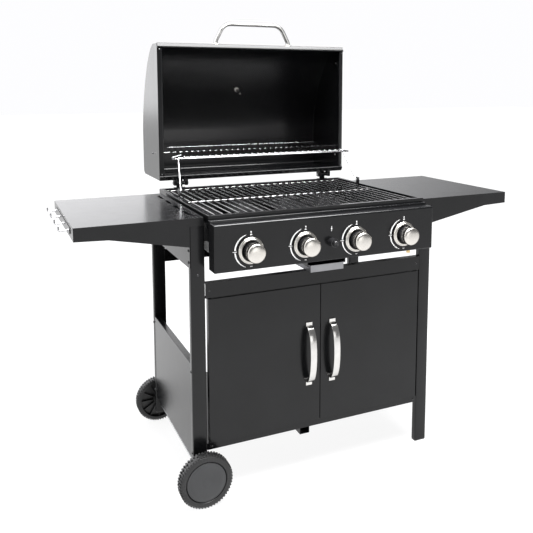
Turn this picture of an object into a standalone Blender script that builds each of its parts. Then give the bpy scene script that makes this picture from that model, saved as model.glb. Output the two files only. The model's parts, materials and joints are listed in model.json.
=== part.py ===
"""Gas barbecue on a cart: four burners, an open lid, two side shelves and two doors.

Everything is drawn in the cart's frame: X left to right, Y front to back, Z up, with the
floor at Z = 0 and the middle of the cart at X = Y = 0.  One empty, "grill", then moves
the whole object so that its origin is at the middle of its base.  Sizes are in metres.
"""
import math

import bmesh
import bpy
from mathutils import Matrix, Vector

# ---------------------------------------------------------------- sizes
GAP = 0.0003                  # what touching pieces keep between them
RUN = 0.0004                  # radial play of a pin in its hole
SHEET = 0.0012                # folded steel sheet

CART_WIDTH = 0.773            # over the posts
CART_DEPTH = 0.438
POST_WIDTH = 0.040
POST_THICK = 0.020
POST_WALL = 0.0015
POST_TOP = 0.762
POST_BELOW_AXLE = 0.023       # the wheeled posts end above the floor

WHEEL_RADIUS = 0.075
WHEEL_WIDTH = 0.030
WHEEL_STANDOFF = 0.0245       # post face to wheel
HUBCAP_RADIUS = 0.055
AXLE_RADIUS = 0.004

BASE_BOTTOM = 0.134
BASE_TOP = 0.153
BRACE_WIDTH = 0.055
BRACE_HEIGHT = 0.021
BRACE_X = -0.046

PANEL_LOW = 0.109             # side panels
PANEL_TOP = 0.383
PANEL_FLANGE = 0.018

HEADER_LOW = 0.5632
HEADER_TOP = 0.605

DOOR_INSET = 0.0065           # from a post's inner side to the door's edge
DOOR_SPLIT = 0.001
DOOR_THICK = 0.018
DOOR_EDGE = 0.0008            # chamfer, thinner than the sheet
DOOR_PROUD = 0.0045           # how far the doors stand in front of the posts
DOOR_PLAY = 0.0015            # above and below a door
DOOR_PIN_INSET = 0.0085
DOOR_PIN_DEPTH = 0.011        # behind the door's front face
DOOR_PIN_RADIUS = 0.003
DOOR_HANDLE_X = 0.038
DOOR_HANDLE_WIDTH = 0.020
DOOR_HANDLE_LOW = 0.266
DOOR_HANDLE_TOP = 0.454
DOOR_HANDLE_BOW = 0.034
DOOR_HANDLE_FOOT = 0.012
HANDLE_FULLNESS = 0.8         # below 1, the bow is fuller near its ends
STRAP = 0.003

FIREBOX_PLAY = 0.0055         # from the firebox to the posts
FIREBOX_FORE = 0.020          # how far it stands out in front of the posts
FIREBOX_AFT = 0.059           # and behind them
RIM_TOP = 0.7915
RIM_BAND = 0.0125
LEDGE_DROP = 0.0105
LEDGE = 0.0105
TUB_BOTTOM = 0.662
TUB_TAPER = 0.018
SUMP_Z = 0.648
SUMP_HALF = 0.030
SUMP_Y = -0.030
RIM_SKIRT = 0.720
PAD_HEIGHT = 0.030            # pads that bolt the firebox to the posts
PAD_HALF = 0.009

PANEL_DEPTH = 0.0458          # control panel
PANEL_OVERHANG = 0.0006       # past the firebox's sides
FRONT_LOW = 0.6468
FRONT_TOP = 0.7738
FRONT_STEP = 0.014
FRONT_STEP_RISE = 0.0062

BURNERS = 4
BURNER_PITCH = 0.160
BURNER_Z = 0.699
BURNER_RADIUS = 0.012
BURNER_BORE = 0.009
TAMER_HALF = 0.056
TAMER_RISE = 0.026
TAMER_Z = 0.722

MANIFOLD_Z = 0.668
MANIFOLD_FORE = 0.023         # in front of the firebox
MANIFOLD_RADIUS = 0.007
VALVE_HALF = 0.010
NOZZLE_RADIUS = 0.003
STEM_RADIUS = 0.004
STEM_PUSH = 0.003
KNOB_RADIUS = 0.026
KNOB_REACH = 0.046
KNOB_BACK = 0.0037
BEZEL_RADIUS = 0.036
BEZEL_BORE = 0.0275
BEZEL_THICK = 0.007

BUTTON_RADIUS = 0.008
BUTTON_REACH = 0.030
BUTTON_PUSH = 0.004
HOUSING_RADIUS = 0.0125
HOUSING_REACH = 0.020

GRATE_RODS = 14               # in each half
GRATE_ROD = 0.004
GRATE_PLAY = 0.003

LID_OVERHANG = 0.003          # past the firebox's sides
LID_SETBACK = 0.025           # from the firebox's back to the open lid's rim
LID_TOP = 1.270
LID_FRONT_DEPTH = 0.062       # depth of the lid at its front edge
LID_DEPTH = 0.236             # and at its hinge side
LID_FLANGE = 0.015
LID_BACK_RADIUS = 0.022
LID_BOTTOM = 0.8195
LID_STRAIGHT = 0.150          # height of the flat part by the hinges
LID_ROUNDNESS = 1.25          # 1 makes the curved part a quarter ellipse, 2 a straight slope
LID_STEPS = 14
HINGE_SETBACK = 0.010         # from the firebox's back to the hinge pins
HINGE_Z = 0.808
HINGE_X = 0.272
HINGE_PIN_RADIUS = 0.003
HINGE_BARREL = 0.0065
KNUCKLE_HALF = 0.012
LUG_WIDTH = 0.012

HANDLE_HALF = 0.1345           # at the feet of the lid's handle
HANDLE_TOP_HALF = 0.104        # where its sloping legs and its bar would meet
HANDLE_RISE = 0.070
HANDLE_SETBACK = 0.033        # from the lid's rim to its handle
HANDLE_CORNER = 0.042
HANDLE_UPRIGHT = 0.012
HANDLE_WIDE = 0.011           # half axes of the oval bar
HANDLE_THIN = 0.0065

THERMO_RADIUS = 0.032
THERMO_STEM = 0.004
THERMO_STEP = 8               # the facet of the lid's curve that it sits on
THERMO_PROBE = 0.045          # how far the probe reaches behind the lid's curve
THERMO_DEPTH = 0.011          # the dial's case, in front of the curve
THERMO_BULGE = 0.002          # the bezel's bead, in front of the case
THERMO_NUT = 0.008
THERMO_NUT_THICK = 0.005
THERMO_WASHER = 0.0012        # between the sheet and the case, and the sheet and the nut
BRACKET_HALF = 0.020
BRACKET_DROP = 0.045          # how far the bracket's foot reaches below the firebox rim
BRACKET_SHEET = 0.0022

RACK_BEHIND = 0.072           # from the hinge pins to where the rack hangs in the lid
RACK_Z = 0.905
LEG_AHEAD = 0.088             # from the hinge pins to the top of the rack's leg
LEG_TOP_Z = 0.902
RACK_INSET = 0.0358           # from the rack's lugs to its outer rods
RACK_RODS = 28
RACK_ROD = 0.003
RACK_NOSE = 0.014             # the rack's front wire, ahead of its leg
EAR_OVERHANG = 0.0007         # the rack's ears, past its lugs
RACK_WIRE = 0.002
RACK_TURNUP = (0.028, 0.015)  # back and up, from where it hangs
LEG_WIRE = 0.002
LEG_FOOT_INSET = 0.0043       # the leg's sides inside the lugs, at the foot
LEG_TOP_INSET = 0.0183        # and at the top
TAB_OUTSET = 0.0023           # lugs on the firebox that hold the rack's feet
TAB_THICK = 0.0025
TAB_HALF = 0.009

SHELF_PLAY = 0.0053           # from the lid's side to the shelf
SHELF_REACH = 0.294           # out from the posts
SHELF_OVERHANG = 0.0016       # past the posts, in front and behind
SHELF_TOP = 0.7847
SHELF_WALL = 0.0015
SHELF_SKIRT = 0.035
SHELF_LIP = 0.085             # where the skirt starts to widen into its gusset
SHELF_GUSSET_LOW = 0.7075
SHELF_APRON_LOW = 0.650
SLOT_LENGTH = 0.060
SLOT_WIDTH = 0.009
SLOT_INSET = 0.0145           # tool slots, inside the posts' outer side
HOOKS = 4
HOOK_PITCH = 0.098
HOOK_REACH = 0.030
HOOK_RADIUS = 0.0025
HOOK_Z = 0.767

TRAY_HALF = 0.0525
TRAY_FORE = 0.023             # in front of the firebox
TRAY_BACK = 0.060
TRAY_LOW = 0.611
TRAY_TOP = 0.631

# ---------------------------------------------------------------- places worked out
HALF_W = CART_WIDTH / 2
HALF_D = CART_DEPTH / 2
POST_X = HALF_W - POST_WIDTH / 2
POST_Y = HALF_D - POST_THICK / 2
POST_INNER_X = HALF_W - POST_WIDTH
POST_INNER_Y = HALF_D - POST_THICK
AXLE_Z = WHEEL_RADIUS
WHEEL_POST_FOOT = AXLE_Z - POST_BELOW_AXLE
WHEEL_Y = HALF_D + WHEEL_STANDOFF + WHEEL_WIDTH / 2
DOOR_HALF = POST_INNER_X - DOOR_INSET
DOOR_LOW = BASE_TOP + DOOR_PLAY
DOOR_TOP = HEADER_LOW - DOOR_PLAY
DOOR_FRONT = -HALF_D - DOOR_PROUD
DOOR_PIN_X = DOOR_HALF - DOOR_PIN_INSET
DOOR_PIN_Y = DOOR_FRONT + DOOR_PIN_DEPTH
RIM_HALF = POST_INNER_X - FIREBOX_PLAY
RIM_FRONT = -HALF_D - FIREBOX_FORE
RIM_BACK = HALF_D + FIREBOX_AFT
LEDGE_Z = RIM_TOP - LEDGE_DROP
TUB_HALF = RIM_HALF - RIM_BAND - LEDGE
TUB_FRONT = RIM_FRONT + RIM_BAND + LEDGE
TUB_BACK = RIM_BACK - RIM_BAND - LEDGE
FRONT_Y = RIM_FRONT - PANEL_DEPTH
FRONT_HALF = RIM_HALF + PANEL_OVERHANG
MANIFOLD_Y = RIM_FRONT - MANIFOLD_FORE
TRAY_FRONT = RIM_FRONT - TRAY_FORE
BURNER_X = [(i - (BURNERS - 1) / 2) * BURNER_PITCH for i in range(BURNERS)]
LID_HALF = RIM_HALF + LID_OVERHANG
LID_RIM_Y = RIM_BACK - LID_SETBACK
LID_BACK_Y = LID_RIM_Y + LID_DEPTH
HINGE_Y = RIM_BACK - HINGE_SETBACK
HANDLE_Y = LID_RIM_Y + HANDLE_SETBACK
TAB_X = TUB_HALF + TAB_OUTSET
RACK_PIVOT = (HINGE_Y + RACK_BEHIND, RACK_Z)                        # as (y, z)
LEG_TOP = (HINGE_Y - LEG_AHEAD, LEG_TOP_Z)
LEG_FOOT = (LEG_TOP[0] - RACK_BEHIND, LEG_TOP_Z - (RACK_Z - HINGE_Z))
LEG_FOOT_HALF = TAB_X - LEG_FOOT_INSET
LEG_TOP_HALF = TAB_X - LEG_TOP_INSET
RACK_HALF = TAB_X - RACK_INSET
RACK_EAR = TAB_X + EAR_OVERHANG
RACK_FRONT = LEG_TOP[0] - RACK_NOSE
SHELF_IN = LID_HALF + SHELF_PLAY
SHELF_OUT = HALF_W + SHELF_REACH
SHELF_HALF_DEPTH = HALF_D + SHELF_OVERHANG
SLOT_X = HALF_W - SLOT_INSET
ORIGIN_X = HOOK_REACH / 2
ORIGIN_Y = -(FRONT_Y - KNOB_REACH + LID_BACK_Y) / 2

# ---------------------------------------------------------------- scene
for old in list(bpy.data.objects):
    bpy.data.objects.remove(old, do_unlink=True)

PARTS = bpy.data.collections.new("gas_barbecue_grill")
CUTTERS = bpy.data.collections.new("cutters")
for made in (PARTS, CUTTERS):
    bpy.context.scene.collection.children.link(made)


def empty(name, where, parent=None):
    """An empty that holds pieces; its own place is given in the cart's frame."""
    holder = bpy.data.objects.new(name, None)
    holder.empty_display_size = 0.05
    base = parent["cart_place"] if parent else (0.0, 0.0, 0.0)
    holder["cart_place"] = list(where)
    holder.location = Vector(where) - Vector(base)
    holder.parent = parent
    PARTS.objects.link(holder)
    return holder


ROOT = empty("grill", (0.0, 0.0, 0.0))
ROOT.location = (ORIGIN_X, ORIGIN_Y, 0.0)


def material(name, color, roughness, metallic=0.0):
    made = bpy.data.materials.new(name)
    made.use_nodes = True
    shader = made.node_tree.nodes["Principled BSDF"]
    shader.inputs["Base Color"].default_value = (*color, 1.0)
    shader.inputs["Roughness"].default_value = roughness
    shader.inputs["Metallic"].default_value = metallic
    made.diffuse_color = (*color, 1.0)
    return made


BLACK_STEEL = ("black_steel", (0.025, 0.026, 0.027), 0.35)
BLACK_PLASTIC = ("black_plastic", (0.03, 0.03, 0.032), 0.5)
CHROME = ("chrome", (0.8, 0.8, 0.8), 0.12, 1.0)
NICKEL = ("satin_nickel", (0.68, 0.65, 0.6), 0.3, 1.0)
STEEL = ("bare_steel", (0.5, 0.5, 0.5), 0.4, 1.0)
IRON = ("enamelled_iron", (0.05, 0.05, 0.052), 0.4)
BRASS = ("brass", (0.7, 0.52, 0.25), 0.35, 1.0)


# ---------------------------------------------------------------- shapes
def mesh_of(bm, name):
    """Turns a bmesh into a mesh with flat faces, and frees it."""
    bmesh.ops.recalc_face_normals(bm, faces=bm.faces)
    mesh = bpy.data.meshes.new(name)
    bm.to_mesh(mesh)
    bm.free()
    return mesh


def add_box(bm, low, high):
    size = [b - a for a, b in zip(low, high)]
    middle = [(a + b) / 2 for a, b in zip(low, high)]
    scale = Matrix.Diagonal((*size, 1.0))
    bmesh.ops.create_cube(bm, size=1.0, matrix=Matrix.Translation(middle) @ scale)


def add_rod(bm, start, end, radius, sides=16, end_radius=None):
    """A straight round rod from one point to another."""
    start, end = Vector(start), Vector(end)
    along = end - start
    turn = along.to_track_quat("Z", "Y").to_matrix().to_4x4()
    spin = Matrix.Rotation(math.pi / sides, 4, "Z")
    bmesh.ops.create_cone(bm, cap_ends=True, segments=sides, radius1=radius,
                          radius2=radius if end_radius is None else end_radius, depth=along.length,
                          matrix=Matrix.Translation((start + end) / 2) @ turn @ spin)


def boxes(name, *pairs):
    bm = bmesh.new()
    for low, high in pairs:
        add_box(bm, low, high)
    return mesh_of(bm, name)


def rods(name, *rows, sides=16):
    bm = bmesh.new()
    for row in rows:
        add_rod(bm, *row, sides=sides)
    return mesh_of(bm, name)


def baked(obj):
    """Replaces an object by the mesh that its curve or modifiers make."""
    bpy.context.view_layer.update()
    mesh = bpy.data.meshes.new_from_object(obj.evaluated_get(bpy.context.evaluated_depsgraph_get()))
    bm = bmesh.new()
    bm.from_mesh(mesh)
    bm.transform(obj.matrix_world)
    bmesh.ops.remove_doubles(bm, verts=bm.verts, dist=0.00001)
    bpy.data.objects.remove(obj, do_unlink=True)
    return mesh_of(bm, mesh.name)


def outline(name, points, half, axis="X"):
    """A flat outline with a thickness: points are (y, z) for axis X, (x, z) for Y, (x, y) for Z."""
    curve = bpy.data.curves.new(name, "CURVE")
    curve.dimensions = "2D"
    curve.fill_mode = "BOTH"
    curve.extrude = half
    spline = curve.splines.new("POLY")
    spline.points.add(len(points) - 1)
    for point, place in zip(spline.points, points):
        point.co = (place[0], place[1], 0.0, 1.0)
    spline.use_cyclic_u = True
    obj = bpy.data.objects.new(name, curve)
    turns = {"X": (math.pi / 2, 0.0, math.pi / 2), "Y": (math.pi / 2, 0.0, 0.0), "Z": (0.0, 0.0, 0.0)}
    obj.rotation_euler = turns[axis]
    CUTTERS.objects.link(obj)
    return baked(obj)


def rounded(points, radius, steps=5):
    """Replaces each inner corner of a path by an arc."""
    points = [Vector(p) for p in points]
    path = [points[0]]
    for before, corner, after in zip(points, points[1:], points[2:]):
        back, ahead = (before - corner).normalized(), (after - corner).normalized()
        half_angle = back.angle(ahead) / 2
        reach = min(radius / math.tan(half_angle), (before - corner).length * 0.49,
                    (after - corner).length * 0.49)
        start, end = corner + back * reach, corner + ahead * reach
        centre = corner + (back + ahead).normalized() * (reach / math.cos(half_angle))
        sweep = (start - centre).angle(end - centre)
        for i in range(steps + 1):
            t = i / steps
            aim = (start - centre) * math.sin((1 - t) * sweep) + (end - centre) * math.sin(t * sweep)
            path.append(centre + aim / math.sin(sweep))
    return path + [points[-1]]


def wire(name, points, radius, resolution=1):
    """A round wire along a path, with closed ends."""
    curve = bpy.data.curves.new(name, "CURVE")
    curve.dimensions = "3D"
    curve.bevel_depth = radius
    curve.bevel_resolution = resolution
    curve.use_fill_caps = True
    spline = curve.splines.new("POLY")
    spline.points.add(len(points) - 1)
    for point, place in zip(spline.points, points):
        point.co = (*place, 1.0)
    obj = bpy.data.objects.new(name, curve)
    CUTTERS.objects.link(obj)
    return baked(obj)


def turned(name, profile, steps=32):
    """A solid turned about Z; the profile is (radius, height) and runs down its outer side."""
    bm = bmesh.new()
    ring = profile[0] == profile[-1]
    corners = [bm.verts.new((radius, 0.0, height)) for radius, height in profile[ring:]]
    for a, b in zip(corners, corners[1:] + corners[:ring]):
        bm.edges.new((a, b))
    mesh = bpy.data.meshes.new(name)
    bm.to_mesh(mesh)
    bm.free()
    obj = bpy.data.objects.new(name, mesh)
    screw = obj.modifiers.new("turn", "SCREW")
    screw.steps = steps
    screw.render_steps = steps
    screw.use_merge_vertices = True
    screw.merge_threshold = 0.00001
    return obj


# ---------------------------------------------------------------- pieces
def finish(obj, look, parent, origin, sharp=40.0):
    """Gives a piece its material and parent; its origin is a place in the cart's frame."""
    mesh = obj.data
    name, color, roughness, *rest = look
    mesh.materials.append(bpy.data.materials.get(name) or material(name, color, roughness, *rest))
    mesh.shade_smooth()
    mesh.set_sharp_from_angle(angle=math.radians(sharp))
    holder = parent or ROOT
    obj.location = Vector(origin) - Vector(holder["cart_place"])
    obj.parent = holder
    PARTS.objects.link(obj)
    return obj


def piece(name, mesh, look, parent=None, origin=None):
    """A piece whose mesh was drawn in the cart's frame."""
    if origin is None:
        origin = parent["cart_place"] if parent else (0.0, 0.0, 0.0)
    mesh.transform(Matrix.Translation(-Vector(origin)))
    mesh.name = name
    return finish(bpy.data.objects.new(name, mesh), look, parent, origin)


def turned_piece(name, profile, look, origin, facing=(0.0, 0.0, 0.0), parent=None, steps=32):
    """A turned piece; facing turns its axis from Z."""
    obj = turned(name, profile, steps)
    finish(obj, look, parent, origin)
    obj.rotation_euler = facing
    return obj


def combine(obj, mesh, operation):
    """Cuts a mesh out of a piece, or joins it on; the mesh is drawn in the cart's frame."""
    tool = bpy.data.objects.new(obj.name + "_" + operation.lower(), mesh)
    tool.hide_render = True
    tool.display_type = "WIRE"
    tool.parent = ROOT
    CUTTERS.objects.link(tool)
    boolean = obj.modifiers.new(operation.lower(), "BOOLEAN")
    boolean.operation = operation
    boolean.object = tool
    boolean.solver = "EXACT"
    return obj


def cut(obj, mesh):
    return combine(obj, mesh, "DIFFERENCE")


def join(obj, mesh):
    return combine(obj, mesh, "UNION")


def bevel(obj, width, segments=2, angle=40.0):
    rounding = obj.modifiers.new("rounding", "BEVEL")
    rounding.width = width
    rounding.segments = segments
    rounding.limit_method = "ANGLE"
    rounding.angle_limit = math.radians(angle)
    return obj


# ---------------------------------------------------------------- cart
def make_posts():
    for side, x in (("left", -POST_X), ("right", POST_X)):
        for end, y in (("front", -POST_Y), ("rear", POST_Y)):
            low = WHEEL_POST_FOOT if side == "left" else 0.0
            half_w, half_t = POST_WIDTH / 2, POST_THICK / 2
            post = piece(f"post_{end}_{side}", boxes("post", ((x - half_w, y - half_t, low),
                         (x + half_w, y + half_t, POST_TOP))), BLACK_STEEL)
            inner_w, inner_t = half_w - POST_WALL, half_t - POST_WALL
            floor = low + POST_WALL
            if side == "left":
                floor = AXLE_Z + AXLE_RADIUS + 0.004
            cut(post, boxes("bore", ((x - inner_w, y - inner_t, floor),
                                     (x + inner_w, y + inner_t, POST_TOP + 0.01))))
            if side == "left":
                cut(post, rods("axle_hole", ((x, y - POST_THICK, AXLE_Z), (x, y + POST_THICK, AXLE_Z),
                                             AXLE_RADIUS + GAP), sides=20))


def make_axle_and_wheels():
    end = WHEEL_Y + WHEEL_WIDTH * 0.36
    piece("axle", rods("axle", ((-POST_X, -end, AXLE_Z), (-POST_X, end, AXLE_Z), AXLE_RADIUS),
                       sides=20), STEEL)
    half = WHEEL_WIDTH / 2
    bore = AXLE_RADIUS + RUN
    web = half * 0.30
    seat = half - 0.0055
    profile = [(bore, half * 0.62), (0.014, half * 0.62), (0.016, web), (HUBCAP_RADIUS - 0.004, web),
               (HUBCAP_RADIUS + 0.001, seat), (HUBCAP_RADIUS + 0.003, half), (WHEEL_RADIUS - 0.006, half),
               (WHEEL_RADIUS, half - 0.006), (WHEEL_RADIUS, -half + 0.006),
               (WHEEL_RADIUS - 0.006, -half), (WHEEL_RADIUS - 0.014, -half),
               (WHEEL_RADIUS - 0.017, -web), (0.016, -web), (0.014, -half), (bore, -half),
               (bore, half * 0.62)]
    edge = HUBCAP_RADIUS
    cap = [(0.0, half + 0.0015), (edge * 0.55, half + 0.001), (edge - 0.002, half - 0.001),
           (edge, half - 0.003), (edge, seat + GAP), (edge - 0.004, seat + GAP),
           (edge - 0.005, half - 0.004), (0.0, half - 0.0025)]
    for end, sign in (("front", -1), ("rear", 1)):
        centre = (-POST_X, sign * WHEEL_Y, AXLE_Z)
        holder = empty(f"wheel_{end}_axis", centre, ROOT)
        facing = (-sign * math.pi / 2, 0.0, 0.0)
        turned_piece(f"wheel_{end}", profile, BLACK_PLASTIC, centre, facing, holder, steps=30)
        turned_piece(f"hubcap_{end}", cap, BLACK_PLASTIC, centre, facing, holder, steps=24)


def make_base():
    inner = POST_INNER_X - GAP
    shelf = piece("bottom_shelf", boxes("base", ((-inner, -HALF_D, BASE_BOTTOM), (inner, HALF_D, BASE_TOP))),
                  BLACK_STEEL)
    hollow = SHEET
    cut(shelf, boxes("base_hollow", ((-inner + hollow, -HALF_D + hollow, BASE_BOTTOM - 0.01),
                                     (inner - hollow, HALF_D - hollow, BASE_TOP - hollow))))
    pins = [((s * DOOR_PIN_X, DOOR_PIN_Y, BASE_TOP - 0.006), (s * DOOR_PIN_X, DOOR_PIN_Y, BASE_TOP + 0.002),
             DOOR_PIN_RADIUS + RUN) for s in (-1, 1)]
    cut(shelf, rods("door_pin_holes", *pins, sides=16))
    top = BASE_BOTTOM - GAP
    half, back = BRACE_WIDTH / 2, HALF_D - 0.004
    edge = 0.012
    hat = [(BRACE_X - half, top), (BRACE_X - half, top - SHEET), (BRACE_X - half + edge, top - SHEET),
           (BRACE_X - half + edge, top - BRACE_HEIGHT), (BRACE_X + half - edge, top - BRACE_HEIGHT),
           (BRACE_X + half - edge, top - SHEET), (BRACE_X + half, top - SHEET), (BRACE_X + half, top),
           (BRACE_X + half - edge - SHEET, top), (BRACE_X + half - edge - SHEET, top - BRACE_HEIGHT + SHEET),
           (BRACE_X - half + edge + SHEET, top - BRACE_HEIGHT + SHEET), (BRACE_X - half + edge + SHEET, top)]
    piece("bottom_brace", outline("brace", hat, back, "Y"), BLACK_STEEL)


def make_side_panels():
    inner = POST_INNER_Y - GAP
    for side, s in (("left", -1), ("right", 1)):
        near, far = HALF_W - 0.001, HALF_W - 0.001 - PANEL_FLANGE
        bottom = [(s * near, PANEL_LOW), (s * near, PANEL_TOP), (s * far, PANEL_TOP),
                  (s * far, PANEL_TOP - SHEET), (s * (near - SHEET), PANEL_TOP - SHEET),
                  (s * (near - SHEET), PANEL_LOW + SHEET), (s * far, PANEL_LOW + SHEET), (s * far, PANEL_LOW)]
        piece(f"side_panel_{side}", outline("panel", bottom, inner, "Y"), BLACK_STEEL)


def make_rails():
    inner = POST_INNER_X - GAP
    for name, sign in (("header_rail", -1), ("rear_rail", 1)):
        face, back = sign * HALF_D, sign * POST_INNER_Y
        skin = sign * (HALF_D - SHEET)
        channel = [(face, HEADER_LOW), (face, HEADER_TOP), (back, HEADER_TOP), (back, HEADER_TOP - SHEET),
                   (skin, HEADER_TOP - SHEET), (skin, HEADER_LOW + SHEET), (back, HEADER_LOW + SHEET),
                   (back, HEADER_LOW)]
        rail = piece(name, outline("rail", channel, inner, "X"), BLACK_STEEL)
        if sign < 0:
            pins = [((s * DOOR_PIN_X, DOOR_PIN_Y, HEADER_LOW - 0.002),
                     (s * DOOR_PIN_X, DOOR_PIN_Y, HEADER_LOW + 0.006), DOOR_PIN_RADIUS + RUN)
                    for s in (-1, 1)]
            cut(rail, rods("door_pin_holes", *pins, sides=16))


def handle_bow(face, middle, depth, span, steps=12):
    """Points of one side of a bowed door handle, from its top to its bottom."""
    angles = [math.pi * i / steps for i in range(steps + 1)]
    return [(face - depth * math.sin(t) ** HANDLE_FULLNESS, middle + span * math.cos(t)) for t in angles]


def handle_strap():
    """The side view of a door handle: a bent strap with a flat foot at each end."""
    face = DOOR_FRONT - GAP
    middle = (DOOR_HANDLE_LOW + DOOR_HANDLE_TOP) / 2
    half = (DOOR_HANDLE_TOP - DOOR_HANDLE_LOW) / 2
    span = half - DOOR_HANDLE_FOOT
    outer = handle_bow(face, middle, DOOR_HANDLE_BOW, span)
    inner = handle_bow(face, middle, DOOR_HANDLE_BOW - STRAP, span - STRAP * 1.6)
    outer[0], outer[-1] = (face - STRAP, middle + span), (face - STRAP, middle - span)
    return ([(face, middle + half), (face - STRAP, middle + half)] + outer
            + [(face - STRAP, middle - half), (face, middle - half)] + inner[::-1])


def make_doors():
    for side, s in (("left", -1), ("right", 1)):
        hinge = empty(f"door_{side}_hinge", (s * DOOR_PIN_X, DOOR_PIN_Y, DOOR_LOW), ROOT)
        a, b = sorted((s * DOOR_SPLIT, s * DOOR_HALF))
        back = DOOR_FRONT + DOOR_THICK
        door = piece(f"door_{side}", boxes("door", ((a, DOOR_FRONT, DOOR_LOW), (b, back, DOOR_TOP))),
                     BLACK_STEEL, hinge)
        bevel(door, DOOR_EDGE, 1)
        cut(door, boxes("door_hollow", ((a + SHEET, DOOR_FRONT + SHEET, DOOR_LOW + SHEET),
                                        (b - SHEET, back + 0.01, DOOR_TOP - SHEET))))
        x = s * DOOR_PIN_X
        reach = DOOR_PLAY + 0.0035
        join(door, rods("door_pins", ((x, DOOR_PIN_Y, DOOR_LOW - reach), (x, DOOR_PIN_Y, DOOR_LOW + SHEET / 2),
                                      DOOR_PIN_RADIUS),
                        ((x, DOOR_PIN_Y, DOOR_TOP - SHEET / 2), (x, DOOR_PIN_Y, DOOR_TOP + reach),
                         DOOR_PIN_RADIUS), sides=16))
        mesh = outline("strap", handle_strap(), DOOR_HANDLE_WIDTH / 2, "X")
        mesh.transform(Matrix.Translation((s * DOOR_HANDLE_X, 0.0, 0.0)))
        piece(f"door_handle_{side}", mesh, CHROME, hinge)


# ---------------------------------------------------------------- firebox and gas
def tub_wall(z):
    """How far the tub's inner wall has come in from its top, at a height."""
    return TUB_TAPER * (LEDGE_Z - z) / (LEDGE_Z - TUB_BOTTOM)


def ring_at(z, half, front, back):
    return [(-half, front, z), (half, front, z), (half, back, z), (-half, back, z)]


def rim_ring(inset, z):
    """A rectangle that runs inside the firebox's outer edge by an inset."""
    return ring_at(z, RIM_HALF - inset, RIM_FRONT + inset, RIM_BACK - inset)


def make_firebox():
    in_ledge = RIM_BAND + LEDGE
    rings = [rim_ring(0.0, RIM_SKIRT), rim_ring(0.0, RIM_TOP), rim_ring(RIM_BAND, RIM_TOP),
             rim_ring(RIM_BAND, LEDGE_Z), rim_ring(in_ledge, LEDGE_Z),
             rim_ring(in_ledge + TUB_TAPER, TUB_BOTTOM),
             ring_at(SUMP_Z, SUMP_HALF, SUMP_Y - SUMP_HALF, SUMP_Y + SUMP_HALF)]
    bm = bmesh.new()
    rows = [[bm.verts.new(co) for co in ring] for ring in rings]
    for low, high in zip(rows, rows[1:]):
        for i in range(4):
            j = (i + 1) % 4
            bm.faces.new((low[i], low[j], high[j], high[i]))
    mesh = bpy.data.meshes.new("firebox")
    bm.to_mesh(mesh)
    bm.free()
    firebox = piece("firebox", mesh, BLACK_STEEL)
    shell = firebox.modifiers.new("sheet", "SOLIDIFY")
    shell.thickness = SHEET
    shell.offset = -1.0
    shell.use_even_offset = True
    holes = [((x, RIM_FRONT + 0.010, BURNER_Z), (x, TUB_FRONT + 0.060, BURNER_Z), BURNER_RADIUS + RUN)
             for x in BURNER_X]
    cut(firebox, rods("burner_holes", *holes, sides=16))
    y, z = LEG_FOOT
    tabs = []
    for s in (-1, 1):
        near, far = sorted((s * TAB_X, s * (TAB_X + TAB_THICK)))
        tabs.append(((near, y - TAB_HALF, LEDGE_Z - SHEET / 2), (far, y + TAB_HALF, z + TAB_HALF)))
    join(firebox, boxes("rack_tabs", *tabs))
    pivots = [((s * (TAB_X - 0.001), y, z), (s * (TAB_X + TAB_THICK + 0.001), y, z), LEG_WIRE + RUN)
              for s in (-1, 1)]
    cut(firebox, rods("rack_holes", *pivots, sides=12))
    pads = []
    for s in (-1, 1):
        near, far = sorted((s * (RIM_HALF - SHEET / 2), s * (POST_INNER_X - GAP)))
        for y_mid in (-POST_Y, POST_Y):
            pads.append(((near, y_mid - PAD_HALF, RIM_SKIRT), (far, y_mid + PAD_HALF, RIM_SKIRT + PAD_HEIGHT)))
    join(firebox, boxes("post_pads", *pads))


def make_control_panel():
    back = RIM_FRONT - GAP
    panel = piece("control_panel", boxes("panel", ((-FRONT_HALF, FRONT_Y, FRONT_LOW),
                                                   (FRONT_HALF, back, FRONT_TOP))), BLACK_STEEL)
    bevel(panel, 0.0025, 2)
    cut(panel, boxes("panel_hollow", ((-FRONT_HALF + SHEET, FRONT_Y + SHEET, FRONT_LOW + SHEET),
                                      (FRONT_HALF - SHEET, back + 0.01, FRONT_TOP - SHEET))))
    cut(panel, boxes("panel_mouth", ((-FRONT_HALF + 0.03, FRONT_Y + 0.012, FRONT_LOW - 0.01),
                                     (FRONT_HALF - 0.03, back + 0.02, FRONT_LOW + SHEET * 2))))
    join(panel, boxes("panel_step", ((-FRONT_HALF + 0.004, back - FRONT_STEP, FRONT_TOP - SHEET / 2),
                                     (FRONT_HALF - 0.004, back, FRONT_TOP + FRONT_STEP_RISE))))
    holes = [((x, FRONT_Y - 0.01, BURNER_Z), (x, FRONT_Y + 0.01, BURNER_Z), STEM_RADIUS + 0.0025)
             for x in BURNER_X]
    holes.append(((0.0, FRONT_Y - 0.01, BURNER_Z), (0.0, FRONT_Y + 0.01, BURNER_Z),
                  HOUSING_RADIUS - 0.003 + GAP))
    cut(panel, rods("stem_holes", *holes, sides=20))


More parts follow.
